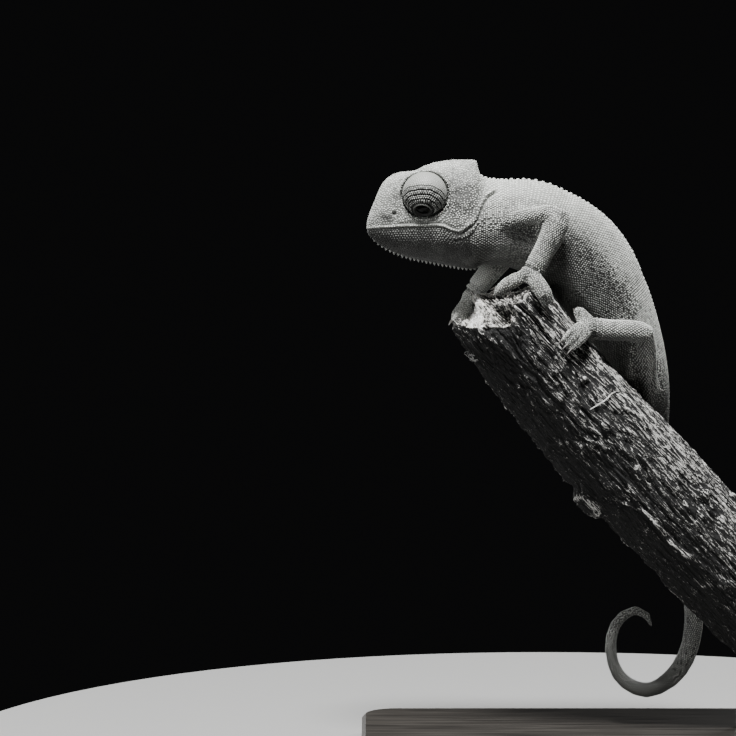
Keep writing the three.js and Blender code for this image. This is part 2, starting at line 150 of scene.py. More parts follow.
# The head gets cells of half the size, for its folds
bpy.ops.object.mode_set(mode="EDIT")
shape = bmesh.from_edit_mesh(skin.data)
for face in shape.faces:
    middle = face.calc_center_median()
    ahead = middle.x < head_high.x + 1.2 * MM
    face.select = ahead and middle.z > head_low.z - 8 * MM and abs(middle.y) < 6 * MM
bmesh.update_edit_mesh(skin.data)
bpy.ops.mesh.subdivide(number_cuts=1, smoothness=0)
bpy.ops.mesh.select_all(action="SELECT")
bpy.ops.uv.smart_project(angle_limit=1.15, island_margin=0.0008)
bpy.ops.object.mode_set(mode="OBJECT")
skin.data.uv_layers.active.name = "skin_unwrap"
smooth(skin.data, 2)

# ---- Folds ----
# The creases and ridges that the live skin has: lips, folds behind the jaw, nostrils, the ring
# round each eye, wrists, ankles and the web at the thigh. They are pressed into the cast skin.
EYE = {"at": Vector((-24.1, 1.95, 84.4)), "radius": 3.4}
NOSTRIL = (-28.65, 81.5)
LIP = [
    (-32.9, 79.35), (-31.5, 79.5), (-28, 79.72), (-22.4, 79.85), (-21.2, 79.7), (-20.2, 79.2), (-19.3, 78.95),
    (-18.75, 79.1),
]
JAW_FOLD = [
    (-18.75, 78.9), (-18.3, 79.3), (-17.25, 80.0), (-16.65, 80.75), (-16.2, 81.95), (-15.75, 83.0),
    (-15.0, 84.2), (-13.9, 84.9),
]
JAW_FOLD_LOW = [(-19.9, 77.8), (-19.0, 77.9), (-17.85, 78.35), (-17.1, 79.1), (-16.5, 80.2)]
BROW = [(-29.4, 86.0), (-27.6, 87.15), (-25.5, 87.6)]
TEMPLE_RIDGE = [(-20.6, 84.8), (-18.6, 85.6), (-16.6, 85.9)]
# Each line: [x, z] points in mm, shift [x, z], width, and how far it stands out
HEAD_LINES = [
    (LIP, (0, 0), 0.16, 0.16), (LIP, (0, -0.30), 0.10, -0.2), (LIP[2:-2], (0, 0.34), 0.10, -0.1),
    (JAW_FOLD, (0, 0), 0.19, 0.22), (JAW_FOLD, (0.38, -0.22), 0.16, -0.34),
    (JAW_FOLD_LOW, (0, 0), 0.20, 0.12), (JAW_FOLD_LOW, (0.34, -0.28), 0.12, -0.16),
    (BROW, (0, 0), 0.35, 0.08), (TEMPLE_RIDGE, (0, 0), 0.4, 0.06),
]
EYE_RINGS = [(3.72, 0.16, 0.10), (4.05, 0.15, -0.12), (4.4, 0.2, 0.05)]  # radius, width, height
WRIST_FOLDS = [  # mm beyond the wrist, width and height
    (-0.5, 0.9, 0.2), (-0.75, 0.14, -0.16), (-0.3, 0.26, 0.2), (0.16, 0.16, -0.34), (0.55, 0.22, 0.14),
]
WRIST_REACH = 2.6
ELBOW_FOLD = [(-6.2, 82.4), (-6.45, 81.6), (-6.7, 80.7), (-7.0, 79.9)]
THIGH_WEB = [(7.15, 62.4), (7.2, 60.0), (7.3, 57.2)]
LIMBS = {
    f"{limb}_{side}": (f"{limb}_{side}_{upper}", f"{limb}_{side}_{lower}", f"{grip}_{side}_palm")
    for limb, upper, lower, grip in (("arm", "upper", "forearm", "hand"), ("leg", "thigh", "shank", "foot"))
    for side in ("left", "right")
}
claws_of = {
    f"{grip}_{side}_{toes}": sorted(n for n in frame["nodes"] if n.startswith(f"claw_{grip}_{side}_{toes}"))
    for grip in ("hand", "foot")
    for side in ("left", "right")
    for toes in ("front", "back")
}


def cad_points(node):
    return points_of(frame["nodes"][node].data) / MM


def lengths(vectors):
    return np.linalg.norm(vectors, axis=-1)


def unit(vectors):
    return vectors / np.linalg.norm(vectors, axis=-1, keepdims=True)


def bump(distance, width):
    return np.exp(-((distance / width) ** 2))


def reach_to(points, line):
    nearest = np.full(len(points), np.inf)
    for a, b in zip(line[:-1], line[1:]):
        a, b = np.array(a), np.array(b)
        along = np.clip((points - a) @ (b - a) / ((b - a) @ (b - a)), 0, 1)
        nearest = np.minimum(nearest, lengths(points - a - along[:, None] * (b - a)))
    return nearest


def core_ends(node, away_from):
    """The two ends of a length's core, in mm, along its own long axis, the far end first."""
    cloud = np.unique(np.round(cad_points(node), 3), axis=0)
    middle = cloud.mean(axis=0)
    axis = np.linalg.svd(cloud - middle, full_matrices=False)[2][0]
    ends = [middle + axis * np.quantile((cloud - middle) @ axis, share) for share in (0.04, 0.96)]
    return sorted(ends, key=lambda end: -lengths(end - away_from))


def from_core(points, node):
    """How far along a length's core each point lies, and the way from the core to it, in mm."""
    start, end = cores[node]
    axis = unit(end - start)
    along = np.clip((points - start) @ axis, 0, lengths(end - start))
    return along, points - start - np.outer(along, axis)


# Both lengths of a limb run from the trunk towards the grip
cores = {}
girth = {}
for upper, lower, palm in LIMBS.values():
    cores[lower] = core_ends(lower, cad_points(palm).mean(axis=0))
    cores[upper] = core_ends(upper, cores[lower][0])
for node, (start, end) in cores.items():
    cloud = cad_points(node) - start
    axis = unit(end - start)
    girth[node] = float(np.median(lengths(cloud - np.outer(cloud @ axis, axis))))


def nearest_number(places, sought):
    """For each sought point, the number of the place that is nearest to it."""
    finder = kdtree.KDTree(len(places))
    for number, place in enumerate(places):
        finder.insert(place, number)
    finder.balance()
    return np.array([finder.find(point)[1] for point in sought])


# Points spread over the flesh solids tell which named part a place on the skin belongs to
SPOTS_PER_MM2 = 14
spots, owners = [], []
for number, node in enumerate(flesh):
    mesh = frame["nodes"][node].data
    mesh.calc_loop_triangles()
    corner = points_of(mesh)[np.array([t.vertices for t in mesh.loop_triangles])]
    edge_u, edge_v = corner[:, 1] - corner[:, 0], corner[:, 2] - corner[:, 0]
    area = lengths(np.cross(edge_u, edge_v)) / 2
    dice = np.random.default_rng(number)
    pick = dice.choice(len(corner), size=int(area.sum() / MM**2 * SPOTS_PER_MM2), p=area / area.sum())
    u, v = dice.random((2, len(pick), 1))
    u, v = np.where(u + v > 1, 1 - u, u), np.where(u + v > 1, 1 - v, v)
    spots += list(corner[pick, 0] + u * edge_u[pick] + v * edge_v[pick])
    owners += [number] * len(pick)
part_of = np.array(owners)[nearest_number(spots, points_of(skin.data))]


def named(*starts):
    wanted = [number for number, node in enumerate(flesh) if node.startswith(starts)]
    return np.isin(part_of, wanted)


at = points_of(skin.data) / MM
side_view = at[:, [0, 2]]
on_head = (at[:, 0] < -13.2) & (at[:, 2] > 72) & (np.abs(at[:, 1]) < 5.2)
flank = np.clip((np.abs(at[:, 1]) - 0.15) / 0.5, 0, 1) * on_head
rise = np.zeros(len(at))
for line, shift, width, height in HEAD_LINES:
    rise += height * bump(reach_to(side_view, np.array(line) + shift), width) * flank
hole = lengths(side_view - NOSTRIL)
rise += flank * (0.08 * bump(hole - 0.5, 0.16) - 0.32 * bump(hole, 0.25))
ring = lengths(side_view - np.array((EYE["at"].x, EYE["at"].z)))
for radius, width, height in EYE_RINGS:
    rise += on_head * (np.abs(at[:, 1]) > 1.6) * height * bump(ring - radius, width)
wrist_crease = np.zeros(len(at))
for upper, lower, palm in LIMBS.values():
    start, wrist = cores[lower]
    axis = unit(wrist - start)
    beyond = (at - wrist) @ axis
    off = lengths(at - wrist - np.outer(beyond, axis))
    for place, width, height in WRIST_FOLDS:
        rise += height * bump(beyond - place, width) * (off < WRIST_REACH)
    crease = np.maximum(bump(beyond - 0.16, 0.15), 0.5 * bump(beyond + 0.75, 0.13))
    wrist_crease = np.maximum(wrist_crease, (off < WRIST_REACH - 0.4) * crease)
    outside = np.full(len(at), 9.0)
    for node in (upper, lower):
        along, away = from_core(at, node)
        outside = np.minimum(outside, lengths(away) - girth[node] + 3 * (node == upper) * (along < 2))
    rise -= 0.34 * bump(outside - 0.42, 0.3) * (outside > 0.1) * named("trunk", "neck")
rise -= 0.3 * bump(reach_to(side_view, ELBOW_FOLD), 0.2) * (at[:, 1] < -5.4)

# Grooves between neighbouring toes, from between their claws back towards the palm
groove = np.full(len(at), 9.0)
for grip, nodes in claws_of.items():
    palm = cad_points(grip.rsplit("_", 1)[0] + "_palm").mean(axis=0)
    claws = [cad_points(node).mean(axis=0) for node in nodes]
    for one, other in zip(claws[:-1], claws[1:]):
        middle = (one + other) / 2
        way = unit(palm - middle)
        apart = unit(other - one)
        beyond = (at - middle) @ way
        deep = np.abs((at - middle) @ np.cross(way, apart))
        past = np.clip(beyond - 2.0, 0, 9) + np.clip(deep - 1.6, 0, 9) + np.clip(-0.6 - beyond, 0, 9)
        groove = np.minimum(groove, np.abs((at - middle) @ apart) + 3 * past)
rise -= 0.24 * bump(groove, 0.16)
web = np.clip((62.4 - at[:, 2]) / 5, 0, 1)
rise += (at[:, 1] < 3) * (at[:, 2] > 56.8) * 0.4 * bump(reach_to(side_view, THIGH_WEB), 0.12 + 0.75 * web)
push_out(rise[:, None] * MM)

# The socket opens as wide as the turret, with a thin dark gap all round; the casque's rear
# corner is drawn out square
SOCKET = EYE["radius"] + 0.06
CASQUE_PULLS = [  # [x, z] in mm, width, and the pull in x and z
    ((-16.5, 89.4), 0.6, (0.16, 0.14)), ((-15.75, 88.2), 0.7, (-0.12, 0)),
    ((-15.4, 87.4), 0.55, (-0.22, 0.02)),
]
at = points_of(skin.data) / MM
for side in (-1, 1):
    arm = at[:, [0, 2]] - np.array((EYE["at"].x, EYE["at"].z))
    ring = lengths(arm)
    in_front = (at[:, 1] * side > EYE["at"].y + 0.1) & (ring < SOCKET + 0.3)
    wanted = np.interp(ring, [0, 2.6, SOCKET + 0.3], [SOCKET, SOCKET, SOCKET + 0.3])
    shift = np.where(in_front, wanted - ring, 0)
    at[:, [0, 2]] += arm / np.maximum(ring, 1e-6)[:, None] * shift[:, None]
for spot, width, pull in CASQUE_PULLS:
    near = bump(lengths(at[:, [0, 2]] - np.array(spot)), width) * on_head
    at[:, [0, 2]] += near[:, None] * np.array(pull)
place_points(skin.data, at * MM)

# ---- Markings ----
# The skin is palest on the crown, back and limbs, greyer on the flank and near black under the
# jaw and belly, partly its own colour and partly painted shade on its under sides. Skin and
# scales share these values, worked out once on the skin.
BODY_LINE = [
    (-17.5, 0.1, 80.2), (-13.3, 0.4, 80.2), (-10.5, 0.5, 80.1), (-7.9, 0.6, 79.5), (-4.9, 1.0, 77.9),
    (-1.9, 1.8, 75.7), (1.1, 3.0, 72.8), (4.1, 4.0, 68.9), (6.4, 4.8, 64.5), (8.4, 5.3, 60.4),
    (9.9, 5.9, 56.4), (11.0, 6.9, 52.6), (11.5, 8.3, 49.0), (12.6, 10.2, 44.5), (14.0, 11.7, 39.8),
    (15.2, 12.6, 35.0), (16.3, 12.4, 30.4), (17.2, 11.4, 25.8), (17.65, 9.9, 21.8), (17.45, 8.3, 17.6),
    (16.3, 7.3, 13.7), (13.9, 6.4, 10.5), (10.0, 5.5, 8.75), (6.0, 4.8, 10.8), (4.4, 4.2, 15.2),
    (5.2, 3.8, 19.3), (7.9, 3.4, 21.4), (10.0, 3.2, 20.4), (10.6, 3.2, 18.7),
]
LINE_STEP = 0.12
BLUR_ROUNDS = 26
# Painted shade in front of the eye and in the nostril; the others are darker patches by the snout and behind
# the eye
SHADE_SPOTS = [  # [x, z] in mm, width, and how much darker
    ((-28.4, 84.0), 0.9, 0.26), ((-29.3, 81.1), 0.5, 0.2), ((-30.2, 80.95), 0.5, 0.42),
    ((-29.5, 80.75), 0.4, 0.3), (NOSTRIL, 0.28, 0.42), ((-18.6, 84.2), 1.7, 0.14), ((-19.5, 86.5), 0.7, 0.1),
]
TEMPLE = ((-18.9, 84.2), (2.2, 2.6))
FRECKLED = [((-28.6, 84.2), (1.1, 2.0)), ((-18.6, 88.0), (2.2, 1.5)), ((-30.0, 81.0), (0.9, 0.5))]


def fine_line(stations, step=LINE_STEP):
    """A line of places as even steps of a smooth curve."""
    knots = np.array(stations, dtype=float)
    padded = np.vstack([2 * knots[0] - knots[1], knots, 2 * knots[-1] - knots[-2]])
    t = np.linspace(0, 1, 40, endpoint=False)[:, None]
    runs = []
    for a, b, c, d in zip(padded[:-3], padded[1:-2], padded[2:-1], padded[3:]):
        bend = (2 * a - 5 * b + 4 * c - d) * t**2 + (3 * b - a - 3 * c + d) * t**3
        runs.append(0.5 * (2 * b + (c - a) * t + bend))
    curve = np.vstack([*runs, knots[-1:]])
    walked = np.concatenate([[0], np.cumsum(lengths(np.diff(curve[:, :3], axis=0)))])
    even = np.arange(0, walked[-1], step)
    return np.stack([np.interp(even, walked, axis) for axis in curve.T], axis=1)


def ramp(value, stops):
    return np.interp(value, [stop[0] for stop in stops], [stop[1] for stop in stops])


def mottle(points, size, depth, seed):
    shift = Vector((seed, seed * 1.7, -seed))
    values = [noise.fractal(Vector(p) / size + shift, 0.6, 2.1, 3) for p in points]
    return depth * np.clip(np.array(values), -1, 1)


def by_part(start, table):
    """One value for each skin point: each row gives parts, what they follow, and its stops."""
    values = np.full(len(at), start)
    for parts, measure, stops in table:
        values[named(*parts)] = ramp(measure, stops)[named(*parts)]
    return values


def blurred(values):
    for _ in range(BLUR_ROUNDS):
        values = neighbour_mean(skin.data, values[:, None])[:, 0]
    return values


def blot(spot, size):
    return bump(lengths((side_view - np.array(spot)) / np.array(size)), 1)


at = points_of(skin.data) / MM
height = at[:, 2]
body = fine_line(BODY_LINE)
station = nearest_number(body, at)
heading = unit(np.gradient(body, axis=0))
upward = np.stack([-heading[:, 2], np.zeros(len(body)), heading[:, 0]], axis=1)
toward_back = np.einsum("ij,ij->i", at - body[station], upward[station])
# Partly the skin's own colour and partly painted shade: darker towards the belly, the under side of the tail
# and the throat, and paler higher on the head and neck. The far arm is paler, as painted light against the
# shade it stands in.
tone = by_part(0.7, [
    (("trunk", "neck"), toward_back, [(-6, 0.42), (-4, 0.38), (-2.2, 0.2), (0.2, 0.15), (1.6, 0.25),
                                      (2.8, 0.5), (3.8, 0.64), (5, 0.69), (6.5, 0.8)]),
    (("tail",), toward_back, [(-2, 0.2), (0, 0.36), (2, 0.56)]),
    (("head",), height, [(79, 0.57), (81, 0.66), (85, 0.72), (87, 0.75), (90, 0.77)]),
    (("jaw",), height, [(73, 0.02), (76.6, 0.015), (77.5, 0.11), (79.4, 0.32)]),
    (("neck",), height, [(73, 0.1), (76.5, 0.24), (79.5, 0.68), (82.5, 1.05), (87, 1.08)]),
    (("leg",), height, [(0, 0.83)]),
    (("hand", "foot"), height, [(0, 0.74)]),
    (("foot_left",), height, [(0, 0.8)]),
    (("arm_right",), height, [(0, 1.0)]),
    (("hand_right",), height, [(0, 0.84)]),
])
# Painted shade: everywhere, the more the surface faces down, the darker it is
tone *= ramp(normals_of(skin.data)[:, 2], [(-1, 0.3), (-0.4, 0.46), (0.1, 0.9), (0.5, 1)])
# Painted shade on the trunk and neck close round each arm
off_arm = np.minimum(*[lengths(from_core(at, LIMBS[arm][0])[1]) for arm in ("arm_left", "arm_right")])
tone -= 0.12 * named("trunk", "neck") * bump(off_arm - 2.1, 0.9)
# Painted shade on the under side of the left shank
below = -from_core(at, "leg_left_shank")[1][:, 2]
tone *= 1 - 0.55 * named("leg_left_shank") * np.clip(below, 0, 1)
tone = blurred(tone)
# Painted highlight along the lip and on the web at the thigh, painted light under the eye against the eye's
# shadow, and painted shade in the groove under the lip
lip_glow = bump(reach_to(side_view, LIP), 0.17) * flank
under_lip = bump(reach_to(side_view + np.array((0, 0.34)), LIP), 0.1) * flank
under_eye = bump((side_view[:, 0] + 24.3) / 3.6, 1) * bump((side_view[:, 1] - 80.5) / 0.75, 1) * flank
web_glow = bump(reach_to(side_view, THIGH_WEB), 0.12 + 0.5 * web) * (at[:, 1] < 3.4) * (height < 62.6)
tone *= 1 - 0.5 * under_lip
for share, glow in ((0.95, lip_glow), (0.5, under_eye), (0.95, web_glow)):
    tone += share * glow * (1 - tone)
# Painted shade in the grooves between the toes and in the wrist creases
tone *= 1 - np.maximum(0.7 * bump(groove, 0.2), 0.8 * wrist_crease)
# Painted shade in front of the eye and in the nostril, and darker patches, from the spots listed above
for spot, width, darker in SHADE_SPOTS:
    tone -= darker * blot(spot, width) * on_head
tone += mottle(at, 2.6, 0.07, 3.0) + mottle(at, 0.7, 0.14, 8.0) * np.clip(tone / 0.6, 0.1, 1)

# The flank gets a painted net of fine wrinkles along and across the body: painted shade in the lines
# of the net, and paler skin between them
wrinkle_shade = named("trunk") * bump(toward_back + 0.4, 2.6)
stray = mottle(at, 3.0, 0.5, 5.0)
along_body = np.abs(np.sin(math.pi * (toward_back / 0.74 + stray)))
across_body = np.abs(np.sin(math.pi * (station * LINE_STEP / 0.92 - 1.3 * stray)))
net = np.minimum(along_body, across_body * 1.4)
tone *= 1 + wrinkle_shade * (0.85 - 2.0 * np.clip(1 - net / 0.6, 0, 1))
tone = np.clip(tone, 0.012, 1)

# How strongly scales differ from each other and from the skin between them, which is painted darker
# with it, as painted shade in the gaps
contrast = by_part(0.95, [
    (("head",), height, [(80, 0.75), (84, 0.85), (86.5, 0.6), (88.5, 0.38)]),
    (("jaw",), height, [(76.3, 0.1), (77.2, 1), (78.9, 0.95), (79.5, 0.5)]),
    (("neck",), height, [(74.5, 0.4), (76.5, 1), (80, 1), (83, 0.75), (86, 0.45)]),
    (("trunk",), toward_back, [(-5, 0.4), (-3, 0.6), (-1.8, 1.15), (1.4, 1.15), (3.2, 0.55), (5.5, 0.34)]),
    (("tail",), height, [(0, 0.9)]),
    (("arm_right", "hand_right"), height, [(0, 0.45)]),
])
snout = named("head") & (at[:, 0] < -27)
contrast[snout] *= ramp(at[:, 0], [(-32, 0.6), (-27, 0.75)])[snout]
contrast *= 1 - 0.8 * lip_glow
temple = blot(*TEMPLE) * on_head
contrast += 0.7 * temple
tone *= 1 + temple * (0.42 - 3.4 * np.clip(mottle(at, 0.55, 1.0, 12.0), 0, 0.3))
freckles = np.clip(mottle(at, 0.42, 1.0, 21.0) - 0.02, 0, 0.3) * on_head
tone *= 1 - 2.4 * np.max([blot(*patch) for patch in FRECKLED], axis=0) * freckles
contrast = blurred(contrast)


def give(mesh, name, values):
    attribute = mesh.attributes.new(name, "FLOAT", "POINT")
    attribute.data.foreach_set("value", np.ascontiguousarray(values, dtype=np.float32))


# Painted shade: the skin between the scales is darker where the contrast is high
give(skin.data, "tone", tone * (0.88 - 0.76 * np.clip(contrast, 0, 1)))
skin.data.shade_smooth()


def wire(node, feeds):
    """Sets a node's sockets, each to a value or to the output that feeds it."""
    for socket, value in feeds.items():
        if isinstance(value, bpy.types.NodeSocket):
            node.id_data.links.new(value, node.inputs[socket])
        else:
            node.inputs[socket].default_value = value


def new_finish(name):
    """A new material, its shader, and a function that adds a wired node to it."""
    material = bpy.data.materials.new(name)
    material.use_nodes = True

    def add(kind, feeds, **settings):
        node = material.node_tree.nodes.new("ShaderNode" + kind)
        for setting, value in settings.items():
            setattr(node, setting, value)
        wire(node, feeds)
        return node

    return material, material.node_tree.nodes["Principled BSDF"], add


def colours(add, share, stops):
    """Colour that runs through its stops, each a place from 0 to 1 and a colour."""
    node = add("ValToRGB", {"Fac": share})
    elements = node.color_ramp.elements
    elements[0].position, elements[1].position = stops[0][0], stops[-1][0]
    for place, colour in stops[1:-1]:
        elements.new(place)
    for element, (place, colour) in zip(elements, stops):
        element.color = (*colour, 1)
    return node.outputs["Color"]


def finish_surface(shader, add, colour, rough_share, roughness, bump_share, strength, depth):
    """Colour, roughness between two values, and bump, all fed to the shader."""
    rough = add("MapRange", {"Value": rough_share, "To Min": roughness[0], "To Max": roughness[1]})
    relief = add("Bump", {"Height": bump_share, "Strength": strength, "Distance": depth})
    feeds = {"Base Color": colour, "Roughness": rough.outputs["Result"], "Normal": relief.outputs["Normal"]}
    wire(shader, feeds)


def leather(name, dark, pale, roughness, grain):
    """A soft matt hide whose colour runs from dark to pale with the tone, with a fine grain."""
    material, shader, add = new_finish(name)
    tone_here = add("Attribute", {}, attribute_name="tone").outputs["Fac"]
    place = add("TexCoord", {}).outputs["Object"]
    speckle = add("TexNoise", {"Vector": place, "Scale": 5200, "Detail": 3}).outputs["Fac"]
    uneven = add("Math", {0: speckle, 1: grain, 2: -grain / 2}, operation="MULTIPLY_ADD").outputs[0]
    total = add("Math", {0: tone_here, 1: uneven}, operation="ADD", use_clamp=True).outputs[0]
    colour = colours(add, total, [(0, dark), (1, pale)])
    finish_surface(shader, add, colour, speckle, roughness, speckle, 0.25, 0.03 * MM)
    return material


def dress(piece, material):
    piece.data.materials.clear()
    piece.data.materials.append(material)
    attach(piece, "root")


dress(skin, leather("young_skin", (0.012, 0.012, 0.011), (0.60, 0.615, 0.575), (0.5, 0.72), 0.12))
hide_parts(*flesh)

# ---- Scales ----
# Thousands of small horny domes, side by side in slanting rows round the trunk, tail and limbs,
# and as loose granules on the head, hands and feet. Each is a closed dome rooted in the skin.
SCALE_SIZE = {  # distance between neighbouring scales in mm
    "head": 0.36, "jaw": 0.38, "neck": 0.38, "trunk": 0.385, "tail": 0.36, "arm": 0.355, "leg": 0.36,
    "hand": 0.29, "foot": 0.29,
}
SIDES = 6
# Each dome's tone is darker towards its root, as painted shade
RINGS = [(0.99, -0.30, 0.55), (0.96, 0.34, 0.78), (0.64, 0.86, 1.0)]  # reach, height, tone
PATCH = 0.003  # the size of each scale on the unwrap
THROWN = 240000  # granules that look for room
CELL = 0.6 * MM  # of the grid in which a scale looks for room
LIMB_STEP, TRUNK_STEP = 0.36 * MM, 0.385 * MM
TAIL_STEPS = [(0, 0.37), (0.6, 0.34), (1, 0.25)]  # share of its length, and the step in mm
TRUNK_SHARE = 0.36  # of the body's line
HEAD_ROWS = [  # x from and to, mm above the lip, step, and length of a scale to its width
    (-32.4, -18.9, 0, 0.34, 1.5),
    *[(-31.8 + 0.2 * (k % 2), -19.4, -0.5 - 0.34 * k, 0.4, 1.15) for k in range(6)],
    (-31.0, -19.6, 0.46, 0.38, 1.2),
]

skin_points = points_of(skin.data)
skin_faces = [tuple(face.vertices) for face in skin.data.polygons]
skin_tree = BVHTree.FromPolygons([Vector(p) for p in skin_points], skin_faces)
face_part = np.array([part_of[face[0]] for face in skin_faces])
face_tone = np.array([tone[list(face)].mean() for face in skin_faces])
face_contrast = np.array([contrast[face[0]] for face in skin_faces])
unwrap = np.empty(len(skin.data.loops) * 2, dtype=np.float32)
skin.data.uv_layers["skin_unwrap"].data.foreach_get("uv", unwrap)
unwrap = unwrap.reshape(-1, 2)
face_spot = np.array([unwrap[list(face.loop_indices)].mean(axis=0) for face in skin.data.polygons])
face_kind = np.array([node.split("_")[0] for node in flesh])[face_part]

jitter = np.random.default_rng(5)
roots = []  # [place, normal, lie, width, length, face]
taken = {}


def cell_of(place):
    return tuple(int(math.floor(c / CELL)) for c in place)


def root_scale(place, normal, lie, size, face, gap, length=1.0):
    """Roots a scale, unless another stands nearer than the gap, a share of its size."""
    x, y, z = cell_of(place)
    for dx, dy, dz in np.ndindex(3, 3, 3):
        for other in taken.get((x + dx - 1, y + dy - 1, z + dz - 1), ()):
            if (other - place).length_squared < (gap * size) ** 2:
                return
    taken.setdefault((x, y, z), []).append(place)
    roots.append([place, normal, lie, size, size * length, face])


def size_at(face, place):
    """Scales grow smaller towards the tip of the tail."""
    size = SCALE_SIZE[face_kind[face]]
    if face_kind[face] == "tail":
        size *= 1 - 0.34 * min(1, max(0, (24 - place.z / MM) / 16)) * (place.x < 14 * MM)
    return size * MM


def rows_round(line, reach, nodes, step_at):
    """Slanting rows: rings of scales a step apart, every second ring turned half a scale."""
    numbers = {flesh.index(node) for node in nodes}
    line = np.array(line) * MM
    heading = unit(np.gradient(line, axis=0))
    walked = np.concatenate([[0], np.cumsum(lengths(np.diff(line, axis=0)))])
    across = Vector((0, 1, 0))
    ring, here, around = 0, 0.0, 0
    while here < walked[-1]:
        centre = Vector([np.interp(here, walked, axis) for axis in line.T])
        axis = Vector([np.interp(here, walked, axis) for axis in heading.T]).normalized()
        across = (across - axis * across.dot(axis)).normalized()
        other = axis.cross(across)
        step = step_at(here)
        probes = [across * math.cos(a) + other * math.sin(a) for a in np.arange(0, 2 * math.pi, math.pi / 8)]
        hits = [skin_tree.ray_cast(centre, probe, reach) for probe in probes]
        wide = [hit[3] for hit in hits if hit[0] is not None]
        if len(wide) > 3:
            wanted = 2 * math.pi * np.mean(wide) / step
            if abs(wanted - around) > 1.6:
                around = max(8, round(wanted))
            for k in range(around):
                angle = 2 * math.pi * (k + 0.5 * (ring % 2) + jitter.uniform(-0.12, 0.12)) / around
                way = across * math.cos(angle) + other * math.sin(angle)
                place, normal, face, _ = skin_tree.ray_cast(centre, way, reach)
                if place is None or face_part[face] not in numbers or normal.dot(way) < 0.25:
                    continue
                gap = 0.72 + 0.08 * jitter.random()
                root_scale(place, normal, axis, size_at(face, place), face, gap, 1.12)
        ring += 1
        here += step * 0.86


def head_row(side, x_from, x_to, above_lip, step, length):
    """A row laid along one side of the head, at a height over the edge of the lip."""
    for x in np.arange(x_from, x_to, step):
        z = ramp(x, LIP) + above_lip
        start = Vector((x + jitter.uniform(-0.05, 0.05), side * 9, z + jitter.uniform(-0.05, 0.05))) * MM
        place, normal, face, _ = skin_tree.ray_cast(start, Vector((0, -side, 0)), 12 * MM)
        if place is not None and abs(place.y) > 0.5 * MM:
            root_scale(place, normal, Vector((1, 0, 0)), step * MM / length, face, 0.7, length)


for side in (-1, 1):
    for row in HEAD_ROWS:
        head_row(side, *row)
for limb, nodes in LIMBS.items():
    near = [node for node in flesh if node.startswith(limb) or node in nodes]
    for node in nodes[:2]:
        start, end = cores[node]
        stretch = (end - start) * 0.12
        rows_round(np.linspace(start - stretch, end + stretch, 30), 2.7 * MM, near, lambda here: LIMB_STEP)
hip = round(len(body) * TRUNK_SHARE)
trunk_line, tail_line = body[:hip], body[hip:]
tail_long = len(tail_line) * LINE_STEP * MM
tail_nodes = [node for node in flesh if node.startswith("tail")]
rows_round(tail_line, 3.2 * MM, tail_nodes, lambda here: MM * ramp(here / tail_long, TAIL_STEPS))
trunk_nodes = [node for node in flesh if node.startswith(("neck", "trunk"))]
rows_round(trunk_line, 9 * MM, trunk_nodes, lambda here: TRUNK_STEP)

# Granules fill the head, the grips and wherever the rows leave room
dice = np.random.default_rng(7)
face_area = np.array([face.area for face in skin.data.polygons])
thrown = dice.choice(len(skin_faces), size=THROWN, p=face_area / face_area.sum())
mix = dice.random((THROWN, 4)) + 0.02
mix /= mix.sum(axis=1)[:, None]
for face, share in zip(thrown, mix):
    ring = list(skin_faces[face])
    if len(ring) != 4:
        continue
    place = Vector(share @ skin_points[ring])
    kind = face_kind[face]
    size = size_at(face, place)
    x, z = place.x / MM, place.z / MM
    if kind == "head":
        size *= 1 - 0.16 * min(1, max(0, (-25.5 - x) / 6)) - 0.14 * min(1, max(0, (z - 84.5) / 3))
    if kind == "jaw" and z < 77.4:
        size *= 0.86
    lie = Vector((1, 0, -0.25)) if kind in ("head", "jaw") else Vector((0.5, -0.4, -0.8))
    normal = skin.data.polygons[face].normal.copy()
    root_scale(place, normal, lie, size, face, 0.84 if kind != "trunk" else 0.8)

place, normal, lie, width, length, face = (np.array(column) for column in zip(*roots))
normal = unit(normal)
lie -= normal * np.einsum("ij,ij->i", lie, normal)[:, None]
lie /= lengths(lie)[:, None] + 1e-9
beside = np.cross(normal, lie)

# Each scale stands a little off its neighbours; those on a crease are left small
side_view = place[:, [0, 2]] / MM
on_face = np.isin(face_kind[face], ("head", "jaw", "neck"))
near_crease = np.ones(len(place))
for line, shift, crease, stands_out in HEAD_LINES:
    if stands_out < -0.05:
        sunk = bump(reach_to(side_view, np.array(line) + shift), crease * 1.25) * on_face
        near_crease = np.minimum(near_crease, 1 - 0.75 * sunk)
near_crease *= 1 - 0.8 * bump(lengths(side_view - NOSTRIL), 0.34) * (face_kind[face] == "head")
on_ridge = np.maximum(bump(reach_to(side_view, JAW_FOLD), 0.2), bump(reach_to(side_view, LIP), 0.15))
on_ridge *= on_face
uneven = dice.uniform(0.9, 1.08, (2, len(place))) * near_crease / 2
strong = face_contrast[face]
width = width * uneven[0] * (1 - 0.34 * strong)
length = length * uneven[1] * (1 - 0.28 * strong)
height = SCALE_DEPTH * (0.22 + 1.4 * np.clip(strong, 0, 1)) * near_crease * (1 - 0.7 * on_ridge)
height = height * dice.uniform(0.8, 1.1, len(place)) * width / (0.19 * MM)
swing = dice.normal(0, 0.4, len(place)) * strong
# Scales on the lip and on the jaw fold are painted paler, as a painted highlight
shade = face_tone[face] * np.clip(1.06 + swing + 0.4 * strong, 0.4, 2.4) * (1 + 0.4 * on_ridge)


def ring_faces(first, rings, sides):
    """Four-sided faces between rings of points that follow each other."""
    starts = range(first, first + (rings - 1) * sides, sides)
    pairs = [(low, k, (k + 1) % sides) for low in starts for k in range(sides)]
    return [(low + k, low + follow, low + sides + follow, low + sides + k) for low, k, follow in pairs]


def fan(first, sides, tip):
    """Three-sided faces from a ring of points to a single point."""
    return [(first + k, first + (k + 1) % sides, tip) for k in range(sides)]


def cap(first, sides):
    return [tuple(range(first, first + sides))]


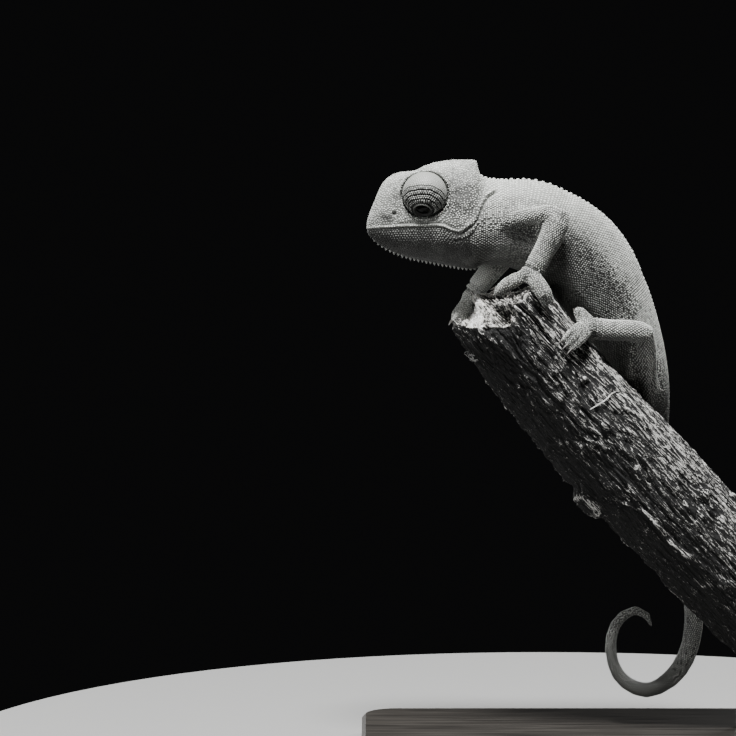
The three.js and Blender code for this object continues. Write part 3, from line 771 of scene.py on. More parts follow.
turn = np.arange(SIDES) * 2 * math.pi / SIDES + math.pi / 6
ring_shape = [(r * math.cos(a), r * math.sin(a), h, t) for r, h, t in RINGS for a in turn]
scale_shape = np.array(ring_shape + [(0, 0, 1.0, 1.04)])
scale_faces = ring_faces(0, 3, SIDES) + fan(2 * SIDES, SIDES, 3 * SIDES) + [tuple(range(SIDES))[::-1]]
horn = leather("scale_horn", (0.014, 0.014, 0.013), (0.70, 0.715, 0.675), (0.38, 0.6), 0.10)


def made_piece(mesh, material):
    piece = bpy.data.objects.new(mesh.name, mesh)
    bpy.context.collection.objects.link(piece)
    dress(piece, material)
    return piece


def scale_piece(name, chosen):
    """The chosen scales as one piece, each a copy of the dome at its own place, size and shade."""
    across, along, up, glow = scale_shape.T
    spots = place[chosen][:, None]
    for shape, size, way in ((across, width, beside), (along, length, lie), (up, height, normal)):
        spots = spots + shape[None, :, None] * size[chosen][:, None, None] * way[chosen][:, None]
    count = np.arange(len(chosen))[:, None]
    corners = np.concatenate(scale_faces)
    starts = np.cumsum([0] + [len(f) for f in scale_faces[:-1]])
    mesh = bpy.data.meshes.new(name)
    for parts, number, key, values in (
        (mesh.vertices, len(scale_shape), "co", spots.astype(np.float32)),
        (mesh.loops, len(corners), "vertex_index", (count * len(scale_shape) + corners).astype(np.int32)),
        (mesh.polygons, len(scale_faces), "loop_start", (count * len(corners) + starts).astype(np.int32)),
    ):
        parts.add(len(chosen) * number)
        parts.foreach_set(key, values.ravel())
    mesh.update(calc_edges=True)
    mesh.validate()
    mesh.shade_smooth()
    patch = np.stack([across[corners], along[corners]], axis=1) * PATCH / 2
    unwrapped = face_spot[face[chosen]][:, None] + patch
    mesh.uv_layers.new(name="OFBake").data.foreach_set("uv", unwrapped.ravel().astype(np.float32))
    # Each dome is painted darker at its root, as painted shade, and paler towards its tip
    paler_tip = glow * (1 + 0.3 * along)
    give(mesh, "tone", np.clip(shade[chosen][:, None] * paler_tip, 0, 1).ravel())
    made_piece(mesh, horn)


COAT = [  # a piece, the parts that it covers, and where it is divided into left and right
    ("head", ("head",), body[0, 1]), ("jaw", ("jaw",), None), ("neck", ("neck",), None),
    ("trunk_fore", ("trunk_fore",), None), ("trunk_mid", ("trunk_mid",), 3.0),
    ("trunk_hind", ("trunk_hind",), None), ("tail_root", ("tail_1", "tail_2", "tail_3"), None),
    ("tail_end", ("tail_4", "tail_5", "tail_6"), None), ("arm_left", ("arm_left", "hand_left"), None),
    ("arm_right", ("arm_right", "hand_right"), None), ("leg_left", ("leg_left", "foot_left"), None),
    ("leg_right", ("leg_right", "foot_right"), None),
]
node_of = np.array(flesh)[face_part[face]]
for name, starts, middle in COAT:
    covered = np.array([node.startswith(starts) for node in node_of])
    if middle is None:
        scale_piece("scales_" + name, np.flatnonzero(covered))
        continue
    on_left = place[:, 1] / MM < middle
    scale_piece(f"scales_{name}_left", np.flatnonzero(covered & on_left))
    scale_piece(f"scales_{name}_right", np.flatnonzero(covered & ~on_left))

# ---- Crests ----
# A row of small soft cones along the back that fades towards the hips, and a beard of them
# under the chin and throat. Each is a closed spike, seven-sided, rooted in the skin.
SPIKE_SIDES = 7
CONE = [(1.0, -0.35), (0.92, 0.12), (0.6, 0.5), (0.27, 0.85)]  # reach, height
BEAD = [(1.0, -0.35), (1.0, 0.25), (0.84, 0.68), (0.48, 0.93)]


def solid_piece(name, points, faces, tones, material):
    """A closed piece with its faces turned outwards, which carries a tone at each point."""
    mesh = bpy.data.meshes.new(name)
    mesh.from_pydata([tuple(point) for point in points], [], faces)
    edit = bmesh.new()
    edit.from_mesh(mesh)
    bmesh.ops.recalc_face_normals(edit, faces=edit.faces)
    edit.to_mesh(mesh)
    edit.free()
    mesh.shade_smooth()
    give(mesh, "tone", tones)
    return made_piece(mesh, material)


def spikes(name, seats, material, rings):
    """One joined piece. A seat is place, way out, lean, radius, height, tone and unwrap spot."""
    points, faces, glow, patch = [], [], [], []
    for place, way, lean, radius, tall, shade, spot in seats:
        across = way.cross(lean).normalized()
        lean = across.cross(way).normalized()
        first = len(points)
        for reach, lift in rings + [(0, 1)]:
            for k in range(SPIKE_SIDES if reach else 1):
                turn = 2 * math.pi * k / SPIKE_SIDES
                side = across * math.cos(turn) + lean * math.sin(turn)
                points.append(place + side * radius * reach + (way + lean * 0.22 * lift) * tall * lift)
                # Each spike is painted darker towards its root, as painted shade
                glow.append(shade * (0.7 + 0.3 * max(0, lift)))
                patch.append(Vector(spot) + Vector((math.cos(turn), math.sin(turn))) * reach * PATCH / 2)
        faces += ring_faces(first, len(rings), SPIKE_SIDES) + cap(first, SPIKE_SIDES)
        faces += fan(len(points) - 1 - SPIKE_SIDES, SPIKE_SIDES, len(points) - 1)
    piece = solid_piece(name, points, faces, glow, material)
    uv = piece.data.uv_layers.new(name="OFBake")
    for loop in piece.data.loops:
        uv.data[loop.index].uv = patch[loop.vertex_index]
    return piece


BEAD_APART, SPIKE_APART = 0.56, 0.6
CREST_FROM_X = -15.6
seats = []
walked = 0.0
for k in range(1, len(trunk_line)):
    walked += lengths(trunk_line[k] - trunk_line[k - 1])
    if walked < BEAD_APART or trunk_line[k][0] < CREST_FROM_X:
        continue
    walked = 0.0
    spot, out, face, _ = skin_tree.ray_cast(Vector(trunk_line[k]) * MM, Vector(upward[k]), 9 * MM)
    if spot is not None:
        fade = ramp(trunk_line[k][2], [(55, 0.15), (68, 0.4), (77, 0.8), (79.5, 1.0)])
        tall = 0.24 * MM * fade * (0.88 + 0.24 * (len(seats) % 2))
        seats.append((spot, out, Vector(heading[k]), 0.27 * MM, tall, 0.95, face_spot[face]))
spikes("crest_back", seats, horn, BEAD)

seats = []
for k in range(27):
    under = Vector((-31.6 + SPIKE_APART * k, 0.02, 66)) * MM
    spot, out, face, _ = skin_tree.ray_cast(under, Vector((0, 0, 1)), 14 * MM)
    if spot is not None:
        tall = MM * ramp(k, [(0, 0.2), (4, 0.38), (20, 0.4), (26, 0.2)]) * (0.9 + 0.2 * (k % 2))
        seats.append((spot, out, Vector((1, 0, 0)), 0.24 * MM, tall, 0.5, face_spot[face]))
spikes("crest_throat", seats, horn, CONE)

# ---- Eyes ----
# Each eye is a turret of skin in rings of granules round a pinhole, with the dark glossy ball
# behind it. The turret is smooth on top, and folded more deeply towards the pinhole.
AIM = Vector((-0.12, 0.60, -0.79)).normalized()
FOLDS = [29.5, 40.5, 52.5, 64.5, 76.5]  # degrees from the pinhole's axis
GRANULE_RINGS = [33.0, 37.2, 44.1, 48.7, 56.1, 60.7, 68.1, 72.8, 79.6, 84.8, 90.2, 95.6, 101.0, 106.4]
TURN_STEPS, AXIS_STEPS = 160, 132
TURRET_SEAT, TURRET_BACK = 2.55 * MM, 2.2 * MM  # its floor and its far side, from its centre
BALL_OUT, BALL_RADIUS = 1.98 * MM, 1.36 * MM
# The lids darken towards the pinhole, which sits low on the turret: partly their own colour and partly
# painted shade under the eye; a paler ring at the pinhole's lip is a painted highlight
LID_TONES = [  # degrees from the pinhole's axis, and tone
    (17, 0.01), (21, 0.03), (23.4, 0.32), (26, 0.14), (29, 0.04), (60, 0.06), (70, 0.15), (82, 0.43),
    (150, 0.5),
]


def stray(degrees, turn):
    """How far the folds stray from true circles, in degrees, at a turn round the pinhole."""
    wobble = 1.1 * np.sin(2 * turn + 1) + 0.7 * np.sin(5 * turn) + 0.5 * np.sin(11 * turn + 2)
    return wobble * np.clip((degrees - 27) / 8, 0, 1)


def turret_points(degrees, turn):
    """Points on the turret by degrees from its pinhole's axis and turn round it, in metres."""
    strayed = degrees + stray(degrees, turn)
    deep = ramp(strayed, [(24, 0.26), (50, 0.24), (64, 0.17), (77, 0.08), (95, 0.0)])
    folded = sum(deep * bump(strayed - fold, 2.1) for fold in FOLDS)
    lid = 0.12 * bump(degrees - 24.0, 1.9) - 0.4 * bump(degrees - 18.0, 2.6)
    radius = (EYE["radius"] - 0.06 - folded + lid) * MM
    side = np.outer(np.cos(turn), across) + np.outer(np.sin(turn), other)
    tilt = np.radians(degrees)[:, None]
    return centre + (np.cos(tilt) * aim + np.sin(tilt) * side) * radius[:, None]


for side, name in ((-1, "left"), (1, "right")):
    centre = np.array((EYE["at"].x, EYE["at"].y * side, EYE["at"].z)) * MM
    aim = np.array((AIM.x, AIM.y * side, AIM.z))
    across = unit(np.cross(aim, (1, 0, 0)))
    other = np.cross(aim, across)
    degrees = np.repeat(np.linspace(17.0, 150, AXIS_STEPS), TURN_STEPS)
    turns = np.tile(np.arange(TURN_STEPS) * 2 * math.pi / TURN_STEPS, AXIS_STEPS)
    points = [*turret_points(degrees, turns), centre + aim * TURRET_SEAT, centre - aim * TURRET_BACK]
    faces = ring_faces(0, AXIS_STEPS, TURN_STEPS) + fan(0, TURN_STEPS, len(turns))
    faces += fan(len(turns) - TURN_STEPS, TURN_STEPS, len(turns) + 1)
    # Painted shade in the folds and on the lower half of the pinhole's rim, whose upper half keeps its
    # painted highlight
    in_fold = sum(bump(degrees + stray(degrees, turns) - fold, 2.5) for fold in FOLDS)
    in_fold *= ramp(degrees, [(27, 0.9), (64, 0.85), (80, 0.6)])
    above = across[2] * np.cos(turns) + other[2] * np.sin(turns)
    lid_tone = ramp(degrees, LID_TONES)
    lid_tone *= np.where(degrees < 34, np.interp(above, [0.0, 0.5], [0.06, 1.0]), 1)
    tones = np.append(lid_tone * (1 - in_fold), (0.05, 0.3))
    turret = solid_piece("eye_turret_skin_" + name, points, faces, tones, skin.data.materials[0])
    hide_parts("eye_turret_" + name)

    # Granules in rings, two rows to a fold
    around = 2 * math.pi * EYE["radius"] * np.sin(np.radians(GRANULE_RINGS))
    counts = np.round(around / 0.36).astype(int)
    spread, count = np.repeat(GRANULE_RINGS, counts), np.repeat(counts, counts)
    number = np.concatenate([np.arange(total) for total in counts])
    turns = 2 * math.pi * (number + 0.5 * (np.round(spread) % 2)) / count
    place = turret_points(spread - stray(spread, turns), turns)
    normal = unit(place - centre)
    lie = unit(np.cross(place - centre, aim))
    beside = np.cross(normal, lie)
    length = np.where(spread < 76, 0.135, 0.165) * MM * dice.uniform(0.85, 1.1, len(place))
    width = np.where(spread < 76, 0.125, 0.155) * MM * dice.uniform(0.85, 1.1, len(place))
    height = ramp(spread, [(24, 0.10), (66, 0.10), (78, 0.035), (107, 0.015)]) * MM
    shade = ramp(spread, [(24, 0.5), (40, 0.5), (60, 0.54), (80, 0.47), (107, 0.5)])
    shade *= 1 + ramp(spread, [(24, 0.5), (70, 0.4), (84, 0.06), (107, 0.03)]) * dice.normal(0, 1, len(place))
    # Painted shade on the granules that face forwards or backwards
    shade *= 1 - 0.45 * np.clip(np.abs(normal[:, 0]) * (normal[:, 2] < 0.5), 0, 1) * (spread < 76)
    face_spot = np.stack([number / count, spread / 180], axis=1)
    face = np.arange(len(place))
    scale_piece("scales_eye_" + name, face)

    # The ball: black pupil, thin dark iris, wet surface
    seat = centre + aim * BALL_OUT
    facing = Vector(aim).to_track_quat("Z", "Y").to_euler()
    bpy.ops.mesh.primitive_uv_sphere_add(
        segments=48, ring_count=32, radius=BALL_RADIUS, location=seat, rotation=facing
    )
    ball = bpy.context.object
    ball.name = "eyeball_glossy_" + name
    bpy.ops.object.transform_apply(location=True, rotation=True, scale=True)
    bpy.ops.object.shade_smooth()
    off_axis = np.degrees(np.arccos(np.clip(unit(points_of(ball.data) - seat) @ aim, -1, 1)))
    give(ball.data, "tone", ramp(off_axis, [(40, 0.0), (52, 0.25), (66, 0.3), (80, 0.1)]))
    wet = leather("eye_" + name, (0.001, 0.001, 0.001), (0.03, 0.026, 0.02), (0.06, 0.12), 0.04)
    wire(wet.node_tree.nodes["Principled BSDF"], {"Specular IOR Level": 0.12})
    dress(ball, wet)
    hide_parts("eyeball_" + name)

# ---- Claws ----
# Small dark hooked claws, one at the end of each toe. Each is a curved horn, pressed into the
# tip of its toe; the claws of one grip are made together.
CLAW_SIDES, CLAW_RINGS = 10, 9
CLAW_RADIUS, CLAW_POINT, CLAW_ROOT = 0.27, 0.025, 0.35  # mm
claw_horn = leather("claw_horn", (0.006, 0.0055, 0.005), (0.10, 0.093, 0.084), (0.36, 0.55), 0.2)


def claw_points(node):
    """Rings of one hooked claw, from its root in the toe to its tip, in mm."""
    cloud = cad_points(node)
    middle = cloud.mean(axis=0)
    tip = cloud[np.argmax(lengths(cloud - middle))]
    base = middle + (middle - tip) * min(1.0, 0.42 / lengths(middle - tip))
    aim = unit(tip - base)
    side = unit(np.cross(aim, (0.31, 0.57, 0.76)))
    other = np.cross(aim, side)
    base = base - aim * CLAW_ROOT
    bend = (tip + base) / 2 + np.array((0, -0.05, 0.16))
    if "foot_left_front" in node:
        tip = base + (tip - base) * 0.45
    t = np.linspace(0, 1, CLAW_RINGS)[:, None]
    centre = base * (1 - t) ** 2 + bend * 2 * t * (1 - t) + (tip - (tip - base) * 0.03) * t**2
    radius = CLAW_RADIUS * (1 - t) ** 0.7 + CLAW_POINT
    turn = np.arange(CLAW_SIDES)[:, None] * 2 * math.pi / CLAW_SIDES
    ring = side * np.cos(turn) + other * 0.8 * np.sin(turn)
    return (centre[:, None] + ring * radius[:, None]).reshape(-1, 3)


for grip, nodes in claws_of.items():
    points = np.vstack([claw_points(node) for node in nodes]) * MM
    faces = []
    for first in range(0, len(points), CLAW_SIDES * CLAW_RINGS):
        faces += ring_faces(first, CLAW_RINGS, CLAW_SIDES) + cap(first, CLAW_SIDES)
        faces += cap(first + CLAW_SIDES * (CLAW_RINGS - 1), CLAW_SIDES)
    glow = np.tile(np.repeat(0.75 - 0.6 * np.linspace(0, 1, CLAW_RINGS), CLAW_SIDES), len(nodes))
    claws = solid_piece("claws_" + grip, points, faces, glow, claw_horn)
    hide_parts(*nodes)

# ---- Perch ----
# A short length of dead branch, sawn square below and torn off above the animal's hands. The
# bark is cast with long ridges that part and meet again; the torn end is pale splintered wood.
PERCH = [  # x, y, z and radius in mm
    (-16.2, -4.0, 71.8, 7.3), (-4.6, -1.7, 56.4, 8.0), (8.0, 0.5, 42.6, 8.55), (24.0, 3.2, 25.8, 8.3),
    (38.0, 5.6, 11.0, 8.0),
]
# Where the torn rim lies: degrees round the perch and mm down its axis
RIM = [
    (-180, 3.1), (-165, 3.2), (-148, 3.6), (-132, 4.7), (-117, 5.7), (-98, 6.9), (-84, 7.0), (-79.5, 6.5),
    (-76, 5.1), (-66, 5.2), (-50, 5.2), (-30, 5.5), (0, 5.9), (30, 6.1), (60, 6.0), (78, 5.1), (92, 3.8),
    (99, 2.6), (105, 1.7), (111, 3.0), (119, 4.4), (135, 5.5), (150, 5.4), (165, 4.4), (180, 3.3),
]
# Places on the torn face: mm towards the upper side, mm towards the far side, mm down the axis
TORN_FACE = [
    (-3.2, -3, 5.0), (-2.8, 0, 4.2), (-2.4, 4, 3.0), (-5.5, -3, 5.0), (-5.5, 2, 5.2), (-4.5, 4.5, 4.9),
    (0, -5.5, 8.3), (0, -2.5, 8.6), (2, -4, 8.6), (0.3, 0, 8.0), (2.5, -1, 7.6), (-1, -4, 7.8),
    (3.2, -5.2, 7.5), (-0.8, 2.6, 5.0), (0.5, 3, 5.2), (2, 2.5, 6.0), (4, -1, 6.0), (4.7, -4.4, 5.6),
    (2, 6, 5.4), (0, 6.5, 4.4), (4.5, 3, 6.2), (5, 0, 6.0),
]
SAW_CUT_X = 31.0
BARK_COLUMNS, BARK_ROWS, TORN_RINGS, SAWN_RINGS = 304, 262, 46, 8
PERCH_STEP = 0.1
# The bark's long fibres: width, length, shift of the pattern and how sharp they are
FIBRES = [
    (1.6, 13.0, 0.0, 0.13), (0.95, 7.0, 17.0, 0.15), (0.6, 3.2, 41.0, 0.2), (1.1, 10.0, 73.0, 0.13),
    (0.5, 6.5, 91.0, 0.16),
]
# Small stubs of twigs: mm down the axis, degrees round and width
STUBS = [(20.4, -64.7, 0.55), (27.5, -81.0, 0.8), (16.6, -84.5, 0.4), (46, -52, 0.6)]

perch_axis = fine_line(PERCH, PERCH_STEP)
perch_down = np.arange(len(perch_axis)) * PERCH_STEP
perch_way = unit(np.gradient(perch_axis[:, :3], axis=0))
perch_up = unit(np.cross(perch_way, (0, 1, 0)))
perch_far = np.cross(perch_way, perch_up)
perch_far *= np.sign(perch_far[:, 1:2])
perch_table = np.hstack([perch_axis, perch_way, perch_up, perch_far])


def on_perch(down, degrees, lift=0.0, share=1.0):
    """Points by mm down the axis, degrees round from the upper side, and height over the bark."""
    down, degrees, lift, share = np.broadcast_arrays(down, degrees, lift, share)
    row = np.stack([np.interp(down, perch_down, column) for column in perch_table.T], axis=-1)
    turn = np.radians(degrees)[..., None]
    radius = row[..., 3:4] * share[..., None] + lift[..., None]
    return row[..., :3] + radius * (row[..., 7:10] * np.cos(turn) + row[..., 10:13] * np.sin(turn))


def round_about(degrees, radius):
    turn = np.radians(degrees)
    return radius * np.cos(turn), radius * np.sin(turn)


def noise_of(*axes):
    points = np.stack(np.broadcast_arrays(*axes), axis=-1)
    values = [noise.noise(Vector(point)) for point in points.reshape(-1, 3)]
    return np.array(values).reshape(points.shape[:-1])


def bark_relief(down, degrees):
    """Height of the bark in mm and how pale it is, from 0 to 1."""
    round_x, round_y = round_about(degrees, 8.2)
    wander = noise_of(round_x / 5, round_y / 5, down / 9) * 1.5
    strands = [
        bump(noise_of((round_x + wander) / wide, (round_y + wander) / wide, down / long + shift), sharp)
        for wide, long, shift, sharp in FIBRES
    ]
    grain = noise_of(round_x / 0.23, round_y / 0.23, down / 0.36)
    crumb = noise_of(round_x / 0.45, round_y / 0.45, down / 1.9 + 3)
    lumps = noise_of(round_x / 2.4, round_y / 2.4, down / 3.2 + 7)
    turned = (degrees + 10 + 180) % 360 - 180
    worn = ramp(turned, [(-170, 1), (-90, 1), (-60, 0.8), (0, 0.4), (40, 0.5), (100, 1), (170, 1)])
    ridges = 0.36 * strands[0] + 0.26 * strands[1] + 0.14 * strands[2] - 0.3 * strands[3]
    height = worn * ridges + 0.12 * strands[4] + 0.16 * grain + 0.2 * crumb + 0.16 * lumps - 0.4
    # Painted shade: the bark is palest on its upper side and darkens round to near black underneath. Its
    # ridges are paler and its furrows darker, partly its own colour and partly painted shade.
    pale = ramp(degrees, [(-180, -0.8), (-140, -0.68), (-105, -0.36), (-75, 0.1), (-50, 0.48), (-10, 0.66),
                          (40, 0.48), (90, 0.16), (140, -0.1), (180, -0.3)])
    pale = pale + worn * (0.5 * strands[0] + 0.36 * strands[1] + 0.12 * strands[2] - 0.4 * strands[3])
    pale = pale + (0.25 + 1.2 * np.clip(pale, 0, 1)) * (0.5 * grain + 0.25 * crumb) + 0.1 * lumps - 0.18
    pale = pale + 0.3 * strands[4]
    # Darker underneath, close to the torn end
    pale -= 0.3 * ramp(down, [(7, 1), (18, 0)]) * ramp(degrees, [(-100, 1), (-86, 0)])
    specks = bump(down - 5.2, 1.7) * ramp(degrees, [(-178, 0), (-165, 1), (-118, 1), (-104, 0)])
    pale += specks * (0.5 + 2.8 * np.clip(crumb + 0.6 * grain, 0, 0.5))

    # The split below the hands: two lips of pale wood with a groove between them, painted dark as
    # painted shade. From here on, degrees become mm by the perch's girth at each mark.
    fade = ramp(down, [(11, 1), (15, 0)])
    off = (degrees - ramp(down, [(4.5, -77.5), (6.6, -73.1), (9.4, -70.7), (14, -70.5), (18, -69)])) * 0.14
    height += fade * (0.5 * bump(off, 0.3) - 0.95 * bump(off - 0.6, 0.28) + 0.3 * bump(off - 1.2, 0.28))
    pale += fade * (1.2 * bump(off + 0.1, 0.36) - 0.9 * bump(off - 0.6, 0.32) + 0.5 * bump(off - 1.2, 0.3))
    # A shallow pit under the hand, painted dark as the hand's shadow
    far = np.hypot((down - 8.2) / 2.2, (degrees + 54) * 0.14 / 0.9)
    height -= 0.7 * bump(far, 1)
    pale -= 0.55 * bump(far, 1)
    for stub_down, stub_degrees, wide in STUBS:
        far = np.hypot(down - stub_down, (degrees - stub_degrees) * 0.143)
        height += 0.8 * bump(far, wide)
        pale += 1.0 * bump(far - wide * 0.5, wide * 0.4) - 0.3 * bump(far - wide * 1.5, wide * 0.5)
    # A thin root that ran up the bark has left its line
    fade = ramp(down, [(5.8, 0), (7.0, 1), (13, 0.8), (16, 0)])
    off = (degrees - ramp(down, [(6.0, -121), (7.5, -118), (9.8, -117), (12.2, -106), (16, -99)])) * 0.138
    height += fade * 0.3 * bump(off, 0.2)
    pale += fade * (0.75 * bump(off, 0.16) - 0.2 * bump(off + 0.5, 0.4))
    # The knot: a raised collar round a dead twig's socket, and a ridge that runs on from it. A painted
    # highlight lies on the collar's rim and along the ridge, with painted shade in the socket and beside it.
    far = np.hypot(down - 36.0, ((degrees + 163 + 180) % 360 - 180) * 0.146)
    height += 1.75 * (1 / (1 + np.exp((far - 2.7) * 3.2))) - 1.5 * bump(far, 1.25)
    pale += 1.7 * bump(far - 2.1, 0.5) - 0.2 * bump(far, 1.2)
    fade = ramp(down, [(35, 0), (36.5, 1), (52, 0.8), (66, 0)])
    ridge = [(35.5, -139), (38.7, -119.8), (41.5, -111.8), (48.3, -113.5), (55.3, -107.4), (70, -101)]
    off = (degrees - ramp(down, ridge)) * 0.146
    height += fade * (0.55 * bump(off, 0.42) - 0.35 * bump(off + 0.9, 0.5))
    pale += fade * (0.85 * bump(off, 0.35) - 0.3 * np.exp(-np.clip(-off, 0, 9) / 1.5) * (off < -0.4))
    return np.minimum(height, 2.2), pale


columns = np.arange(BARK_COLUMNS) * 360 / BARK_COLUMNS - 180
fringe = np.stack([*round_about(columns, 9), 0 * columns])
rim = ramp(columns, RIM) + 0.45 * noise_of(*fringe * 0.5) + 0.3 * noise_of(*fringe * 1.6)
rim = rim + 0.28 * noise_of(*fringe * 4)
cut = [np.interp(SAW_CUT_X, on_perch(perch_down, degrees)[:, 0], perch_down) for degrees in columns]
t = (np.linspace(0, 1, BARK_ROWS) ** 1.12)[:, None]
down = rim + (np.array(cut) - rim) * t
degrees = np.tile(columns, (BARK_ROWS, 1))
height, pale = bark_relief(down, degrees)
height *= ramp(t, [(0, 0.35), (0.006, 1), (0.985, 1), (1, 0.4)])
bark = on_perch(down, degrees, height + ramp(t * 70, [(0, -0.4), (0.7, 0)]))
bark[-1, :, 0] = SAW_CUT_X
bark[:, :, 0] = np.minimum(bark[:, :, 0], SAW_CUT_X)

# The torn end runs from the rim in to the hollow, as standing fibres of uneven length
rim_spots = np.stack([*round_about(columns, 7.6), rim], axis=-1)[::14]
face_spots = np.vstack([rim_spots, np.array(TORN_FACE)])


def torn_depth(spots):
    far = lengths(spots[..., None, :] - face_spots[:, :2])
    pull = 1 / (far**3.2 + 0.15)
    return (pull * face_spots[:, 2]).sum(axis=-1) / pull.sum(axis=-1)


shares = 1 - np.arange(1, TORN_RINGS)[:, None] / TORN_RINGS
section = np.stack([*round_about(columns, 8), 0 * columns])[:, None] * shares
bowl = torn_depth(np.moveaxis(section[:2], 0, -1))
strands = noise_of(*section * 2.6) * 0.5 + noise_of(*section * 1.1 + 5) * 0.5 + noise_of(*section * 5.5) * 0.3
curls = bump(noise_of(*section * 2.2 + 9), 0.14)
depth = bowl - (strands + 0.3 * curls) * ramp(shares, [(0, 0.6), (0.4, 1), (0.94, 0.8), (1, 0.2)]) + 0.25
inset = shares - 0.07 * (shares > 0.9) * (1 - (shares - 0.9) / 0.1)
torn = on_perch(depth, columns, -0.6, inset)
# The torn wood is palest over the mass of fibres and darker away from it. Its crests are paler, and
# its crevices and the hollow beyond the mass darker, as painted shade; a painted highlight runs
# along parts of its rim
around_it = depth.copy()
for _ in range(5):
    around_it[1:-1] = (around_it[:-2] + around_it[2:] + 2 * around_it[1:-1]) / 4
    around_it = (np.roll(around_it, 2, axis=1) + np.roll(around_it, -2, axis=1) + 2 * around_it) / 4
crest = np.clip((around_it - depth) / 0.28, -1, 1)
torn_pale = ramp(torn[:, :, 0], [(-18.8, -0.4), (-18.0, -0.2), (-17.4, 0.58), (-16.0, 0.52), (-15.3, 0.0),
                                 (-12.5, 0.02), (-9, -0.2)])
off_the_mass = ramp(torn[:, :, 0], [(-16.2, 0), (-15.2, 1)]) * (shares < 0.93)
torn_pale += (0.5 * crest + 0.4 * strands + 0.25 * curls) * (1 - 0.35 * off_the_mass)
hollow_shade = ramp(columns, [(-150, 0), (-130, 1), (-60, 1), (0, 0), (30, 1), (110, 1), (120, 0)])
torn_pale -= 0.1 * off_the_mass * hollow_shade
bright_rim = ramp(columns, [(-100, 0.35), (-88, 0), (20, 0), (35, 0.4), (108, 0.4), (116, 0)])
torn_pale += (shares > 0.93) * bright_rim
hollow = on_perch(torn_depth(np.zeros(2)), 0, 0, 0)
end_middle = bark[-1].mean(axis=0)
inward = np.arange(1, SAWN_RINGS)[:, None, None] / SAWN_RINGS
sawn = bark[-1] + (end_middle - bark[-1]) * inward

rings = [*torn[::-1], *bark, *sawn]
points = np.vstack([hollow, *rings, end_middle]) * MM
sawn_count = BARK_COLUMNS * (SAWN_RINGS - 1) + 1
glow = np.concatenate([[0.1], torn_pale[::-1].ravel(), pale.ravel(), np.full(sawn_count, 0.55)])
rim_wood = np.repeat(ramp(t[:, 0] * 70, [(0, 1), (0.12, 0.7), (0.4, 0)]), BARK_COLUMNS)
woody = np.concatenate([np.ones(1 + torn_pale.size), rim_wood, np.ones(sawn_count)])
faces = ring_faces(1, len(rings), BARK_COLUMNS) + fan(1, BARK_COLUMNS, 0)
faces += fan(len(points) - 1 - BARK_COLUMNS, BARK_COLUMNS, len(points) - 1)

# Bark runs from near black in its furrows to pale grey on its ridges, over pale wood
bark_and_wood, shader, add = new_finish("bark_and_wood")
along_it = Vector(perch_way[len(perch_way) // 2]).to_track_quat("Z", "Y").to_euler()
whole = add("TexCoord", {}).outputs["Object"]
where = {"Vector": whole, "Location": end_middle * MM, "Rotation": along_it}
turned = add("Mapping", where, vector_type="TEXTURE").outputs["Vector"]
drawn_out = add("Mapping", {"Vector": turned, "Scale": (1, 1, 0.12)}).outputs["Vector"]
fibrous = {"Vector": drawn_out, "Scale": 2400, "Detail": 3, "Roughness": 0.6, "Offset": 1.0, "Gain": 1.2}
fibre = add("TexNoise", fibrous, noise_type="RIDGED_MULTIFRACTAL").outputs["Fac"]
crumb = add("TexNoise", {"Vector": turned, "Scale": 5600, "Detail": 2, "Roughness": 0.6}).outputs["Fac"]
year_waves = {"Vector": turned, "Scale": 300, "Distortion": 1.4, "Detail": 3}
year_rings = add("TexWave", year_waves, wave_type="RINGS", rings_direction="Z").outputs["Fac"]
tone_here = add("Attribute", {}, attribute_name="tone").outputs["Fac"]
wood_here = add("Attribute", {}, attribute_name="wood").outputs["Fac"]


def product_and_sum(value, factor, added):
    return add("Math", {0: value, 1: factor, 2: added}, operation="MULTIPLY_ADD").outputs[0]


mixed = product_and_sum(fibre, 0.7, crumb)
uneven = product_and_sum(mixed, 2.3, -3.4)
bark_value = add("Math", {0: tone_here, 1: uneven}, operation="ADD", use_clamp=True).outputs[0]
wood_value = product_and_sum(year_rings, 0.16, product_and_sum(uneven, 0.26, tone_here))
BARK_STOPS = [(0, (0.0035, 0.0035, 0.0034)), (0.45, (0.07, 0.0685, 0.0655)), (1, (0.72, 0.71, 0.68))]
WOOD_STOPS = [
    (0, (0.02, 0.019, 0.017)), (0.42, (0.86, 0.84, 0.79)), (0.72, (0.44, 0.43, 0.405)), (1, (1, 1, 1)),
]
bark_colour, wood_colour = colours(add, bark_value, BARK_STOPS), colours(add, wood_value, WOOD_STOPS)
both = add("Mix", {"Factor": wood_here, 6: bark_colour, 7: wood_colour}, data_type="RGBA").outputs[2]
finish_surface(shader, add, both, crumb, (0.72, 0.95), mixed, 1.0, 0.2 * MM)
branch = solid_piece("branch_bark", points, faces, np.clip(glow, -0.7, 1), bark_and_wood)
give(branch.data, "wood", woody)
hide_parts("branch")

